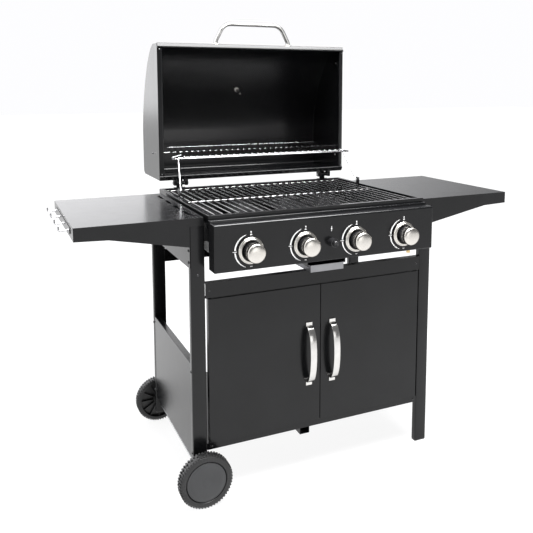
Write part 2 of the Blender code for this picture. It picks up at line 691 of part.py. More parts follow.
def make_burners():
    front = RIM_FRONT + 0.007
    back = TUB_BACK - tub_wall(BURNER_Z - BURNER_RADIUS) - GAP
    for i, x in enumerate(BURNER_X, 1):
        burner = piece(f"burner_{i}", rods("burner", ((x, front, BURNER_Z), (x, back, BURNER_Z),
                       BURNER_RADIUS), sides=16), STEEL)
        cut(burner, rods("venturi", ((x, front - 0.01, BURNER_Z), (x, front + 0.035, BURNER_Z),
                         BURNER_BORE), sides=12))
        sheet = 0.0015
        low = TAMER_Z
        ridge = [(x - TAMER_HALF, low), (x, low + TAMER_RISE), (x + TAMER_HALF, low),
                 (x + TAMER_HALF - sheet, low - sheet), (x, low + TAMER_RISE - sheet * 1.6),
                 (x - TAMER_HALF + sheet, low - sheet)]
        y0 = TUB_FRONT + tub_wall(low - sheet) + GAP
        y1 = TUB_BACK - tub_wall(low - sheet) - GAP
        mesh = outline("tamer", ridge, (y1 - y0) / 2, "Y")
        mesh.transform(Matrix.Translation((0.0, (y0 + y1) / 2, 0.0)))
        piece(f"flame_tamer_{i}", mesh, IRON)


def make_gas_train():
    reach = BURNER_X[-1] + 0.045
    manifold = piece("gas_manifold", rods("manifold", ((-reach, MANIFOLD_Y, MANIFOLD_Z),
                     (reach, MANIFOLD_Y, MANIFOLD_Z), MANIFOLD_RADIUS), sides=12), BRASS)
    y0, y1 = MANIFOLD_Y - VALVE_HALF, MANIFOLD_Y + VALVE_HALF
    join(manifold, boxes("valve_bodies", *[((x - VALVE_HALF, y0, MANIFOLD_Z - 0.001),
                                            (x + VALVE_HALF, y1, BURNER_Z + 0.011)) for x in BURNER_X]))
    tip = RIM_FRONT + 0.010
    join(manifold, rods("nozzles", *[((x, y1 - 0.001, BURNER_Z), (x, tip, BURNER_Z), NOZZLE_RADIUS)
                                     for x in BURNER_X], sides=10))
    inlet_x = reach - 0.012
    join(manifold, rods("inlet", ((inlet_x, MANIFOLD_Y, MANIFOLD_Z - 0.002),
                                  (inlet_x, MANIFOLD_Y, FRONT_LOW - 0.012), 0.0055), sides=12))
    stem_back = y0 + 0.012
    cut(manifold, rods("stem_bores", *[((x, y0 - 0.01, BURNER_Z), (x, stem_back + STEM_PUSH + 2 * GAP, BURNER_Z),
                                        STEM_RADIUS + RUN) for x in BURNER_X], sides=16))
    return stem_back


def make_knobs(stem_back):
    front = (math.pi / 2, 0.0, 0.0)
    stem_front = FRONT_Y - KNOB_REACH * 0.55
    for i, x in enumerate(BURNER_X, 1):
        centre = (x, FRONT_Y, BURNER_Z)
        axis = empty(f"knob_{i}_axis", centre, ROOT)
        piece(f"valve_stem_{i}", rods("stem", ((x, stem_back, BURNER_Z), (x, stem_front, BURNER_Z),
              STEM_RADIUS), sides=16), BRASS, axis)
        r, out = KNOB_RADIUS, KNOB_REACH
        bore, deep = STEM_RADIUS + RUN, FRONT_Y - stem_front + GAP
        knob = [(0.0, out), (r * 0.55, out - 0.0012), (r * 0.86, out - 0.0035), (r, out - 0.008),
                (r, out - 0.020), (r - 0.0025, out - 0.022), (r - 0.0025, KNOB_BACK), (bore, KNOB_BACK),
                (bore, deep), (0.0, deep)]
        turned_piece(f"knob_{i}", knob, NICKEL, centre, front, axis, steps=20)
        ring = [(BEZEL_BORE, BEZEL_THICK * 0.5), (BEZEL_BORE + 0.0025, BEZEL_THICK),
                (BEZEL_RADIUS - 0.003, BEZEL_THICK * 0.85), (BEZEL_RADIUS, BEZEL_THICK * 0.3),
                (BEZEL_RADIUS, GAP), (BEZEL_BORE, GAP), (BEZEL_BORE, BEZEL_THICK * 0.5)]
        turned_piece(f"bezel_{i}", ring, NICKEL, centre, front, steps=20)


def make_igniter():
    centre = (0.0, FRONT_Y, BURNER_Z)
    front = (math.pi / 2, 0.0, 0.0)
    bore = BUTTON_RADIUS - 0.002
    neck = HOUSING_RADIUS - 0.003
    housing = [(bore + RUN, HOUSING_REACH - 0.008), (BUTTON_RADIUS + RUN, HOUSING_REACH - 0.008),
               (BUTTON_RADIUS + RUN, HOUSING_REACH), (HOUSING_RADIUS - 0.0015, HOUSING_REACH),
               (HOUSING_RADIUS, HOUSING_REACH - 0.002), (HOUSING_RADIUS, GAP), (neck, GAP), (neck, -0.022),
               (bore + RUN, -0.022), (bore + RUN, HOUSING_REACH - 0.008)]
    turned_piece("igniter_housing", housing, BLACK_PLASTIC, centre, front, steps=16)
    seat = HOUSING_REACH - 0.008 + BUTTON_PUSH + GAP
    button = [(0.0, BUTTON_REACH), (BUTTON_RADIUS - 0.002, BUTTON_REACH - 0.0005),
              (BUTTON_RADIUS, BUTTON_REACH - 0.003), (BUTTON_RADIUS, seat), (bore, seat), (bore, -0.016),
              (0.0, -0.016)]
    axis = empty("igniter_axis", centre, ROOT)
    turned_piece("igniter_button", button, BLACK_PLASTIC, centre, front, axis, steps=16)


def make_grates():
    half = TAB_X - 0.0012
    y0, y1 = TUB_FRONT - LEDGE + GRATE_PLAY, TUB_BACK + LEDGE - GRATE_PLAY
    low = LEDGE_Z + GAP
    bar = GRATE_ROD
    for side, s in (("left", -1), ("right", 1)):
        a, b = sorted((s * 0.0012, s * half))
        rows = [y0 + 0.004, (y0 + y1) / 2, y1 - 0.004]
        cross = boxes("grate", *[((a, y - bar / 2, low), (b, y + bar / 2, low + bar)) for y in rows])
        grate = piece(f"grate_{side}", cross, IRON)
        pitch = (b - a - 0.012) / (GRATE_RODS - 1)
        bars = []
        for i in range(GRATE_RODS):
            x = a + 0.006 + pitch * i
            bars.append(((x - bar / 2, y0, low + bar * 0.8), (x + bar / 2, y1, low + bar * 1.8)))
        join(grate, boxes("grate_bars", *bars))


# ---------------------------------------------------------------- lid
def lid_curve(t):
    """The lid's outer wall, from its front skirt (t = 0) to its hinge side (t = 1)."""
    start_y, end_z = LID_RIM_Y + LID_FRONT_DEPTH, LID_BOTTOM + LID_STRAIGHT
    angle = t * math.pi / 2
    return (start_y + (LID_BACK_Y - start_y) * math.sin(angle) ** LID_ROUNDNESS,
            end_z + (LID_TOP - end_z) * math.cos(angle) ** LID_ROUNDNESS)


def lid_profile():
    points = [(LID_RIM_Y, LID_TOP)]
    points += [lid_curve(i / LID_STEPS) for i in range(LID_STEPS + 1)]
    r, steps = LID_BACK_RADIUS, 5
    for i in range(steps + 1):
        angle = math.pi / 2 * i / steps
        points.append((LID_BACK_Y - r + r * math.cos(angle), LID_BOTTOM + r - r * math.sin(angle)))
    points.append((LID_RIM_Y, LID_BOTTOM))
    return points


def make_lid():
    hinge = empty("lid_hinge", (0.0, HINGE_Y, HINGE_Z), ROOT)
    profile = lid_profile()
    bm = bmesh.new()
    sides = [[bm.verts.new((s * LID_HALF, y, z)) for y, z in profile] for s in (-1, 1)]
    for (a, b), (c, d) in zip(zip(sides[0], sides[0][1:]), zip(sides[1], sides[1][1:])):
        bm.faces.new((a, b, d, c))
    for side in sides:
        bm.faces.new(side)
    inner = LID_HALF - LID_FLANGE
    high, low = LID_TOP - LID_FLANGE, LID_BOTTOM + LID_FLANGE
    corners = [(-inner, low), (-inner, high), (inner, high), (inner, low)]
    ring = [bm.verts.new((x, LID_RIM_Y, z)) for x, z in corners]
    rim = [sides[0][-1], sides[0][0], sides[1][0], sides[1][-1]]
    for i in range(4):
        j = (i + 1) % 4
        bm.faces.new((rim[i], rim[j], ring[j], ring[i]))
    bmesh.ops.recalc_face_normals(bm, faces=bm.faces)
    bm.faces.ensure_lookup_table()
    if bm.faces[0].normal.z < 0:          # the first face is the top one, which looks up
        bmesh.ops.reverse_faces(bm, faces=bm.faces)
    mesh = bpy.data.meshes.new("lid")
    bm.to_mesh(mesh)
    bm.free()
    lid = piece("lid", mesh, BLACK_STEEL, hinge)
    shell = lid.modifiers.new("sheet", "SOLIDIFY")
    shell.thickness = SHEET
    shell.offset = -1.0
    shell.use_even_offset = True
    lugs = []
    for s in (-1, 1):
        for side in (-1, 1):
            near = s * HINGE_X + side * (KNUCKLE_HALF + 0.0004)
            far = near + side * LUG_WIDTH
            lugs.append(((min(near, far), HINGE_Y - 0.010, HINGE_Z - 0.0075),
                         (max(near, far), HINGE_Y + 0.010, LID_BOTTOM + SHEET / 2)))
    join(lid, boxes("hinge_lugs", *lugs))
    across = KNUCKLE_HALF + LUG_WIDTH + 0.004
    bores = [((s * HINGE_X - across, HINGE_Y, HINGE_Z), (s * HINGE_X + across, HINGE_Y, HINGE_Z),
              HINGE_PIN_RADIUS + RUN) for s in (-1, 1)]
    y, z = RACK_PIVOT
    bores += [((s * (LID_HALF - 0.006), y, z), (s * (LID_HALF + 0.006), y, z), RACK_WIRE + RUN)
              for s in (-1, 1)]
    centre, normal = thermometer_place()
    bores.append((centre - normal * 0.02, centre + normal * 0.02, THERMO_STEM + GAP))
    cut(lid, rods("lid_bores", *bores, sides=16))
    return hinge


def thermometer_place():
    """Where the thermometer's stem passes the lid's wall, and the wall's outward direction."""
    before, after = (Vector((0.0, *lid_curve(step / LID_STEPS))) for step in (THERMO_STEP, THERMO_STEP + 1))
    along = (after - before).normalized()
    return (before + after) / 2, Vector((0.0, -along.z, along.y))


def make_lid_fittings(hinge):
    foot = LID_TOP + GAP
    top = LID_TOP + HANDLE_RISE
    knee = foot + HANDLE_UPRIGHT
    path = rounded([(-HANDLE_HALF, HANDLE_Y, foot), (-HANDLE_HALF, HANDLE_Y, knee),
                    (-HANDLE_TOP_HALF, HANDLE_Y, top), (HANDLE_TOP_HALF, HANDLE_Y, top),
                    (HANDLE_HALF, HANDLE_Y, knee), (HANDLE_HALF, HANDLE_Y, foot)], HANDLE_CORNER, 6)
    handle = wire("handle", path, HANDLE_WIDE, 2)
    squash = HANDLE_THIN / HANDLE_WIDE
    bm = bmesh.new()
    bm.from_mesh(handle)
    flatten_section(bm, path, squash)
    piece("lid_handle", mesh_of(bm, "handle"), NICKEL, hinge)

    centre, normal = thermometer_place()
    dial, stem = THERMO_RADIUS, THERMO_STEM
    face, bead = THERMO_DEPTH, THERMO_DEPTH + THERMO_BULGE
    inside = -SHEET - THERMO_WASHER
    back = inside - THERMO_NUT_THICK
    profile = [(0.0, face), (dial - 0.004, face), (dial - 0.003, bead), (dial, face), (dial, 0.003),
               (dial - 0.006, THERMO_WASHER), (stem, THERMO_WASHER), (stem, inside), (THERMO_NUT, inside),
               (THERMO_NUT, back), (stem, back), (stem * 0.7, -THERMO_PROBE), (0.0, -THERMO_PROBE)]
    tilt = math.atan2(-normal.y, normal.z)
    turned_piece("thermometer", profile, NICKEL, centre, (tilt, 0.0, 0.0), hinge, steps=20)

    for side, s in (("left", -1), ("right", 1)):
        x = s * HINGE_X
        barrel = rods("barrel", ((x - KNUCKLE_HALF, HINGE_Y, HINGE_Z), (x + KNUCKLE_HALF, HINGE_Y, HINGE_Z),
                                 HINGE_BARREL), sides=20)
        bracket = piece(f"lid_hinge_bracket_{side}", barrel, BLACK_STEEL)
        wall = RIM_BACK + GAP
        neck = KNUCKLE_HALF - 0.0005
        top = HINGE_Z + HINGE_BARREL
        join(bracket, boxes("bracket_plate", ((x - neck, HINGE_Y + 0.004, HINGE_Z - 0.006),
                                              (x + neck, wall + 0.002, top))))
        join(bracket, boxes("bracket_foot", ((x - BRACKET_HALF, wall, RIM_TOP - BRACKET_DROP),
                                             (x + BRACKET_HALF, wall + BRACKET_SHEET, RIM_TOP + 0.001)),))
        join(bracket, boxes("bracket_web", ((x - neck + 0.001, wall + 0.0005, RIM_TOP - 0.010),
                                            (x + neck - 0.001, wall + 0.0018, HINGE_Z))))
        join(bracket, boxes("lid_stop", ((x - neck + 0.001, wall + 0.0005, top - 0.003),
                                         (x + neck - 0.001, wall + 0.020, LID_BOTTOM - GAP))))
        hole = HINGE_PIN_RADIUS + GAP
        cut(bracket, rods("pin_hole", ((x - 0.03, HINGE_Y, HINGE_Z), (x + 0.03, HINGE_Y, HINGE_Z), hole),
                          sides=16))
        across = KNUCKLE_HALF + LUG_WIDTH + 0.002
        pin = piece(f"lid_hinge_pin_{side}", rods("pin", ((x - across, HINGE_Y, HINGE_Z),
                    (x + across, HINGE_Y, HINGE_Z), HINGE_PIN_RADIUS), sides=16), STEEL)
        head = x - s * across
        join(pin, rods("pin_head", ((head - s * 0.0015, HINGE_Y, HINGE_Z), (head + s * 0.0008, HINGE_Y, HINGE_Z),
                                    0.0045), sides=16))


def flatten_section(bm, path, squash):
    """Thins a bent tube in the plane of its path, so that its section is an oval."""
    for vert in bm.verts:
        nearest = min(range(len(path) - 1), key=lambda i: segment_distance(vert.co, path[i], path[i + 1]))
        a, b = path[nearest], path[nearest + 1]
        along = (b - a).normalized()
        foot = a + along * max(0.0, min((b - a).length, (vert.co - a).dot(along)))
        away = vert.co - foot
        across = Vector((0.0, away.y, 0.0))
        vert.co = foot + across + (away - across) * squash


def segment_distance(point, a, b):
    along = b - a
    t = max(0.0, min(1.0, (point - a).dot(along) / along.length_squared))
    return (point - a - along * t).length


# ---------------------------------------------------------------- warming rack
def make_rack():
    y, z = RACK_PIVOT
    pivot = empty("rack_axis", (0.0, *LEG_TOP), ROOT)
    rod_z = z + RACK_WIRE + RACK_ROD * 0.2
    front_z = rod_z - 0.010
    reach = LID_HALF + 0.0035
    rack = piece("warming_rack", rods("rack", ((-reach, y, z), (reach, y, z), RACK_WIRE), sides=8),
                 CHROME, pivot)
    pitch = 2 * RACK_HALF / (RACK_RODS - 1)
    half = RACK_ROD / 2
    up_y, up_z = y + RACK_TURNUP[0], z + RACK_TURNUP[1]
    side = [(RACK_FRONT - half, front_z), (RACK_FRONT - half, rod_z + half), (y + 0.004, rod_z + half),
            (up_y - half, up_z + half), (up_y + half, up_z - half), (y + 0.006, rod_z - half),
            (RACK_FRONT + half, rod_z - half), (RACK_FRONT + half, front_z)]
    bar = outline("bar", side, half, "X")
    bm = bmesh.new()
    for i in range(RACK_RODS):
        copy = bar.copy()
        copy.transform(Matrix.Translation((-RACK_HALF + pitch * i, 0.0, 0.0)))
        bm.from_mesh(copy)
    join(rack, mesh_of(bm, "rack_bars"))
    ear_back = RACK_FRONT + 0.041
    low = front_z + 0.0005
    path = rounded([(-RACK_HALF, ear_back, rod_z), (-RACK_EAR, ear_back, low), (-RACK_EAR, RACK_FRONT, low),
                    (RACK_EAR, RACK_FRONT, low), (RACK_EAR, ear_back, low), (RACK_HALF, ear_back, rod_z)],
                   0.008, 3)
    join(rack, wire("front_wire", path, 0.0024, 1))
    join(rack, rods("rear_wire", ((-RACK_HALF - 0.003, up_y - 0.0005, up_z - 0.0005),
                                  (RACK_HALF + 0.003, up_y - 0.0005, up_z - 0.0005), 0.0018), sides=8))

    foot_axis = empty("rack_leg_axis", (0.0, *LEG_FOOT), ROOT)
    top, foot = Vector((0.0, *LEG_TOP)), Vector((0.0, *LEG_FOOT))
    pin = TAB_X + TAB_THICK + 0.0017
    path = rounded([(-pin, foot.y, foot.z), (-LEG_FOOT_HALF, foot.y, foot.z), (-LEG_TOP_HALF, top.y, top.z),
                    (LEG_TOP_HALF, top.y, top.z), (LEG_FOOT_HALF, foot.y, foot.z), (pin, foot.y, foot.z)],
                   0.004, 3)
    piece("rack_leg", wire("leg", path, LEG_WIRE, 1), CHROME, foot_axis)


# ---------------------------------------------------------------- shelves and tray
def make_shelves():
    deep, wall = SHELF_HALF_DEPTH, SHELF_WALL
    apron = HALF_W + GAP
    below = SHELF_TOP - SHELF_SKIRT
    over_post = POST_TOP + GAP
    for side, s in (("left", -1), ("right", 1)):
        skin = [(SHELF_OUT, SHELF_TOP), (SHELF_OUT, below), (SHELF_OUT - SHELF_LIP, below - 0.003),
                (apron + wall, SHELF_GUSSET_LOW), (apron + wall, SHELF_APRON_LOW),
                (apron, SHELF_APRON_LOW), (apron, over_post), (SHELF_IN, over_post), (SHELF_IN, SHELF_TOP)]
        skin = [(s * x, z) for x, z in skin]
        shelf = piece(f"side_shelf_{side}", outline("shelf", skin, deep, "Y"), BLACK_STEEL)
        top = SHELF_TOP - wall
        far_lo, far_hi = sorted((s * (SHELF_OUT - wall), s * (apron + wall)))
        near_lo, near_hi = sorted((s * (apron + 0.0001), s * (SHELF_IN + wall)))
        inner = deep - wall
        cut(shelf, boxes("shelf_hollow", ((far_lo, -inner, SHELF_APRON_LOW - 0.01), (far_hi, inner, top))))
        cut(shelf, boxes("shelf_neck", ((near_lo, -inner, over_post - 0.01), (near_hi, inner, top))))
        if side == "left":
            slots = [((-SLOT_X - SLOT_WIDTH / 2, y - SLOT_LENGTH / 2, SHELF_TOP - 0.01),
                      (-SLOT_X + SLOT_WIDTH / 2, y + SLOT_LENGTH / 2, SHELF_TOP + 0.01)) for y in hook_rows()]
            cut(shelf, boxes("tool_slots", *slots))


def hook_rows():
    return [(i - (HOOKS - 1) / 2) * HOOK_PITCH for i in range(HOOKS)]


def make_hooks():
    face = -SHELF_OUT - GAP
    plate = 0.0018
    rail = piece("hook_rail", boxes("hook_rail", ((face - plate, -0.165, HOOK_Z - 0.008),
                                                  (face, 0.165, HOOK_Z + 0.008))), BLACK_STEEL)
    bm = bmesh.new()
    for y in hook_rows():
        out = -SHELF_OUT - HOOK_REACH
        path = rounded([(face - plate / 2, y, HOOK_Z), (out + HOOK_RADIUS, y, HOOK_Z - 0.002),
                        (out + HOOK_RADIUS, y, HOOK_Z + 0.008)], 0.004, 3)
        bm.from_mesh(wire("hook", path, HOOK_RADIUS, 1))
    join(rail, mesh_of(bm, "hooks"))


def make_tray():
    slide = empty("tray_slide", (0.0, TRAY_FRONT, TRAY_LOW), ROOT)
    tray = piece("drip_tray", boxes("tray", ((-TRAY_HALF, TRAY_FRONT, TRAY_LOW),
                                             (TRAY_HALF, TRAY_BACK, TRAY_TOP))), STEEL, slide)
    cut(tray, boxes("tray_hollow", ((-TRAY_HALF + SHEET, TRAY_FRONT + SHEET, TRAY_LOW + SHEET),
                                    (TRAY_HALF - SHEET, TRAY_BACK - SHEET, TRAY_TOP + 0.01))))
    flange = 0.006
    join(tray, boxes("tray_flanges", *[((min(s * (TRAY_HALF - SHEET / 2), s * (TRAY_HALF + flange)),
                                         TRAY_FRONT + 0.004, TRAY_TOP - 0.0015),
                                        (max(s * (TRAY_HALF - SHEET / 2), s * (TRAY_HALF + flange)),
                                         TRAY_BACK, TRAY_TOP)) for s in (-1, 1)]))
    inner = TRAY_HALF + 0.0012
    outer = TRAY_HALF + flange + 0.0008
    wall = 0.0015
    lip_top, lip_low = TRAY_TOP - 0.0015 - GAP, TRAY_TOP - 0.0015 - GAP - wall
    top = SUMP_Z - SHEET - 2 * GAP - 0.0006
    rim = outer + wall
    u = [(-inner, lip_low), (-inner, lip_top), (-outer, lip_top), (-outer, top - wall), (outer, top - wall),
         (outer, lip_top), (inner, lip_top), (inner, lip_low), (rim, lip_low), (rim, top), (-rim, top),
         (-rim, lip_low)]
    front, back = TRAY_FRONT + 0.004, TRAY_BACK + 0.015
    mesh = outline("hanger", u, (back - front) / 2, "Y")
    mesh.transform(Matrix.Translation((0.0, (front + back) / 2, 0.0)))
    hanger = piece("tray_hanger", mesh, BLACK_STEEL)
    cut(hanger, boxes("drain", ((-SUMP_HALF, SUMP_Y - SUMP_HALF, top - 0.01),
                                (SUMP_HALF, SUMP_Y + SUMP_HALF, top + 0.01))))


make_posts()
make_axle_and_wheels()
make_base()
make_side_panels()
make_rails()
make_doors()
make_firebox()
make_control_panel()
make_burners()
make_knobs(make_gas_train())
make_igniter()
make_grates()
make_lid_fittings(make_lid())
make_rack()
make_shelves()
make_hooks()
make_tray()
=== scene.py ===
"""Looks of the gas barbecue: materials, fine shapes, floor, light and camera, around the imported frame.

Places are taken from the frame's nodes.  at() turns the cart's own coordinates (X right, Y back,
Z up, from the middle of the posts) into the frame's.  Sizes are in metres.
"""
import json
import math

import bmesh
import bpy
from mathutils import Matrix, Vector


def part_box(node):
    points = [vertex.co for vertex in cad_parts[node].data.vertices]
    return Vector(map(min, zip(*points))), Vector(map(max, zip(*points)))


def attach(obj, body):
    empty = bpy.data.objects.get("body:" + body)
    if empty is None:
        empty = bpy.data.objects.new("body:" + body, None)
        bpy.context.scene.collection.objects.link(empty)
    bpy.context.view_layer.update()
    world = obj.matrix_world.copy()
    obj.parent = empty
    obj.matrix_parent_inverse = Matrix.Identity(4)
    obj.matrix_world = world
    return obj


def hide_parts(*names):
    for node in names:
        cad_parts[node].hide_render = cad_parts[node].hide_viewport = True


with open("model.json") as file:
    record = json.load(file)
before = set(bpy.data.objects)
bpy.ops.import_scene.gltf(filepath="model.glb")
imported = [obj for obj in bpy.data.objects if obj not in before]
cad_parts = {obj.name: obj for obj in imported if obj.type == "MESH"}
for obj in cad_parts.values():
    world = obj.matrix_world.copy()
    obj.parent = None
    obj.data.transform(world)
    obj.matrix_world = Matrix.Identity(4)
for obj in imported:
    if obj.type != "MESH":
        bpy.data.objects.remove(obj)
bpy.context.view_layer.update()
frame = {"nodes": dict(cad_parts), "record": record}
NODES = frame["nodes"]
BODY_OF = {node: body for body, nodes in frame["record"]["behaviour"]["bodies"].items() for node in nodes}
SLOT_OF = {row["node"]: row["material_slot"] for row in frame["record"]["subparts"]}


def low(node):
    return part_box(node)[0]


def high(node):
    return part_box(node)[1]


def middle(node):
    return (low(node) + high(node)) / 2


CART_X = (low("post_front_left").x + high("post_front_right").x) / 2
CART_Y = (low("post_front_left").y + high("post_rear_left").y) / 2


def at(x, y, z):
    return Vector((x + CART_X, y + CART_Y, z))


def span(node):
    """A node's two corners in the cart's own coordinates."""
    return low(node) - at(0, 0, 0), high(node) - at(0, 0, 0)


# ---------------------------------------------------------------- materials
class Nodes:
    """Builds a material's nodes around its Principled shader."""

    def __init__(self, name, **sockets):
        self.material = bpy.data.materials.new(name)
        self.material.use_nodes = True
        self.tree = self.material.node_tree
        self.shader = self.tree.nodes["Principled BSDF"]
        for socket, value in sockets.items():
            self.shader.inputs[socket.replace("_", " ")].default_value = value

    def add(self, kind, **settings):
        node = self.tree.nodes.new(kind)
        for key, value in settings.items():
            if key in node.inputs:
                node.inputs[key].default_value = value
            else:
                setattr(node, key, value)
        return node

    def link(self, source, target):
        self.tree.links.new(source, target)

    def place(self, scale=(1.0, 1.0, 1.0)):
        """The piece's own coordinates, stretched."""
        coordinates = self.add("ShaderNodeTexCoord")
        mapping = self.add("ShaderNodeMapping")
        mapping.inputs["Scale"].default_value = scale
        self.link(coordinates.outputs["Object"], mapping.inputs["Vector"])
        return mapping.outputs["Vector"]

    def noise(self, vector, scale, detail=3.0, roughness=0.5):
        node = self.add("ShaderNodeTexNoise", Scale=scale, Detail=detail, Roughness=roughness)
        self.link(vector, node.inputs["Vector"])
        return node.outputs["Fac"]

    def spread(self, value, low_value, high_value, low_in=0.3, high_in=0.7):
        node = self.add("ShaderNodeMapRange")
        for socket, number in zip(("From Min", "From Max", "To Min", "To Max"),
                                  (low_in, high_in, low_value, high_value)):
            node.inputs[socket].default_value = number
        self.link(value, node.inputs["Value"])
        return node.outputs["Result"]

    def tint(self, value, dark, light):
        ramp = self.add("ShaderNodeValToRGB")
        ramp.color_ramp.elements[0].position = 0.35
        ramp.color_ramp.elements[1].position = 0.65
        ramp.color_ramp.elements[0].color = (*dark, 1.0)
        ramp.color_ramp.elements[1].color = (*light, 1.0)
        self.link(value, ramp.inputs["Fac"])
        self.link(ramp.outputs["Color"], self.shader.inputs["Base Color"])

    def bump(self, value, strength, distance):
        node = self.add("ShaderNodeBump", Strength=strength, Distance=distance)
        self.link(value, node.inputs["Height"])
        self.link(node.outputs["Normal"], self.shader.inputs["Normal"])

    def rough(self, value):
        self.link(value, self.shader.inputs["Roughness"])


EDGE_TINT = (0.08, 0.08, 0.09, 1.0)


def coated(name, dark, light, roughness, grain=0.00004, grain_scale=900.0, cloudy=0.03, **sockets):
    """Paint, enamel or moulded plastic: a fine orange peel, soft cloudy gloss and faint mottling."""
    nodes = Nodes(name, **sockets)
    place = nodes.place()
    cloud = nodes.noise(place, 9.0, 4.0, 0.6)
    nodes.tint(cloud, dark, light)
    nodes.rough(nodes.spread(nodes.noise(place, 34.0, 5.0, 0.65), roughness - cloudy, roughness + cloudy))
    nodes.bump(nodes.noise(place, grain_scale, 2.0), 0.5, grain)
    return nodes.material


def brushed(name, color, roughness, along, **sockets):
    """Metal with fine straight scratches; along is the axis they run on."""
    nodes = Nodes(name, Metallic=1.0, Specular_Tint=EDGE_TINT, **sockets)
    scale = [1400.0, 1400.0, 1400.0]
    scale[along] = 16.0
    lines = nodes.noise(nodes.place(scale), 1.0, 4.0, 0.7)
    cloud = nodes.noise(nodes.place(), 22.0, 3.0)
    nodes.tint(cloud, [c * 0.93 for c in color], color)
    nodes.rough(nodes.spread(lines, roughness - 0.06, roughness + 0.08))
    nodes.bump(lines, 0.35, 0.00003)
    return nodes.material


def spun(name, color, roughness, **sockets):
    """Metal with scratches that run round the piece's own Z axis."""
    nodes = Nodes(name, Metallic=1.0, Specular_Tint=EDGE_TINT, **sockets)
    place = nodes.place((1.0, 1.0, 0.0))
    length = nodes.add("ShaderNodeVectorMath", operation="LENGTH")
    nodes.link(place, length.inputs[0])
    rings = nodes.add("ShaderNodeTexNoise", noise_dimensions="1D", Scale=2600.0, Detail=3.0)
    nodes.link(length.outputs["Value"], rings.inputs["W"])
    nodes.tint(nodes.noise(nodes.place(), 60.0, 2.0), [c * 0.94 for c in color], color)
    nodes.rough(nodes.spread(rings.outputs["Fac"], roughness - 0.05, roughness + 0.07))
    nodes.bump(rings.outputs["Fac"], 0.3, 0.00003)
    return nodes.material


def plated(name, color, roughness):
    """Bright plating with faint smears."""
    nodes = Nodes(name, Metallic=1.0, Specular_Tint=EDGE_TINT)
    place = nodes.place()
    nodes.tint(nodes.noise(place, 30.0, 3.0), [c * 0.9 for c in color], color)
    nodes.rough(nodes.spread(nodes.noise(place, 70.0, 4.0, 0.7), roughness, roughness + 0.09))
    nodes.bump(nodes.noise(place, 160.0, 2.0), 0.15, 0.00005)
    return nodes.material


def grease_darkened(name, color, roughness):
    """Bare burner steel: straw and blue heat tints over a dull sheet."""
    nodes = Nodes(name, Metallic=1.0)
    place = nodes.place((1.0, 0.35, 1.0))
    nodes.tint(nodes.noise(place, 26.0, 5.0, 0.7), [c * 0.62 for c in color], color)
    nodes.rough(nodes.spread(nodes.noise(place, 90.0, 4.0), roughness - 0.08, roughness + 0.12))
    nodes.bump(nodes.noise(place, 500.0, 2.0), 0.3, 0.00005)
    return nodes.material


POWDER = coated("black_powder_coat", (0.0032, 0.0033, 0.0037), (0.0052, 0.0054, 0.0060), 0.215,
                grain=0.00002, cloudy=0.010, IOR=1.38)
ENAMEL = coated("black_enamel", (0.012, 0.012, 0.013), (0.022, 0.022, 0.023), 0.17, grain=0.00006,
                grain_scale=420.0, IOR=1.55)
RUBBER_GREY = coated("wheel_plastic", (0.010, 0.010, 0.0105), (0.016, 0.016, 0.0165), 0.42,
                     grain=0.00009, grain_scale=700.0)
CAP_GREY = coated("hubcap_plastic", (0.030, 0.031, 0.033), (0.040, 0.041, 0.043), 0.38,
                  grain=0.00005, grain_scale=1100.0)
GLOSS_PLASTIC = coated("gloss_black_plastic", (0.010, 0.010, 0.011), (0.016, 0.016, 0.017), 0.2,
                       grain=0.00002, grain_scale=1300.0)
PRINT = coated("white_print", (0.72, 0.72, 0.72), (0.82, 0.82, 0.82), 0.5, grain=0.00001)
# black print for ticks, needle and knob lines; the same dark material on the burner ports is painted shade
# for the holes' insides
DARK_PRINT_AND_PORT_SHADE = coated("black_print_and_port_shade", (0.02, 0.02, 0.02), (0.03, 0.03, 0.03), 0.5, grain=0.00001)
CHROME = plated("bright_chrome", (0.46, 0.46, 0.47), 0.12)
SATIN = brushed("satin_steel_z", (0.78, 0.765, 0.74), 0.27, 2)
SATIN_X = brushed("satin_steel_x", (0.64, 0.635, 0.62), 0.25, 0)
TRAY_STEEL = brushed("tray_steel", (0.30, 0.30, 0.31), 0.34, 0)
NICKEL = spun("satin_nickel", (0.66, 0.635, 0.595), 0.25, Anisotropic=0.35)
ZINC = brushed("zinc_plate", (0.56, 0.57, 0.58), 0.34, 1)
TUBE_STEEL = grease_darkened("burner_steel", (0.47, 0.44, 0.40), 0.42)
BRASS = brushed("machined_brass", (0.71, 0.53, 0.27), 0.3, 0)
GRATE_WIRE = coated("wire_enamel", (0.26, 0.26, 0.265), (0.42, 0.42, 0.42), 0.24, grain=0.00004,
                    grain_scale=600.0, Metallic=1.0)
HANDLE_CHROME = plated("satin_chrome", (0.66, 0.65, 0.63), 0.15)
HOOK_STEEL = plated("hook_steel", (0.60, 0.60, 0.61), 0.22)
SCREW_BLACK = coated("black_screws", (0.016, 0.016, 0.017), (0.03, 0.03, 0.031), 0.26, grain=0.00001)
GLASS = Nodes("dial_glass", Base_Color=(1.0, 1.0, 1.0, 1.0), Roughness=0.03, IOR=1.45,
              Transmission_Weight=1.0).material

LOOKS = {"black_steel": POWDER, "black_plastic": RUBBER_GREY, "chrome": CHROME, "satin_nickel": SATIN,
         "bare_steel": ZINC, "enamelled_iron": ENAMEL, "brass": BRASS}
for node, obj in NODES.items():
    obj.data.materials.clear()
    obj.data.materials.append(LOOKS[SLOT_OF[node]])


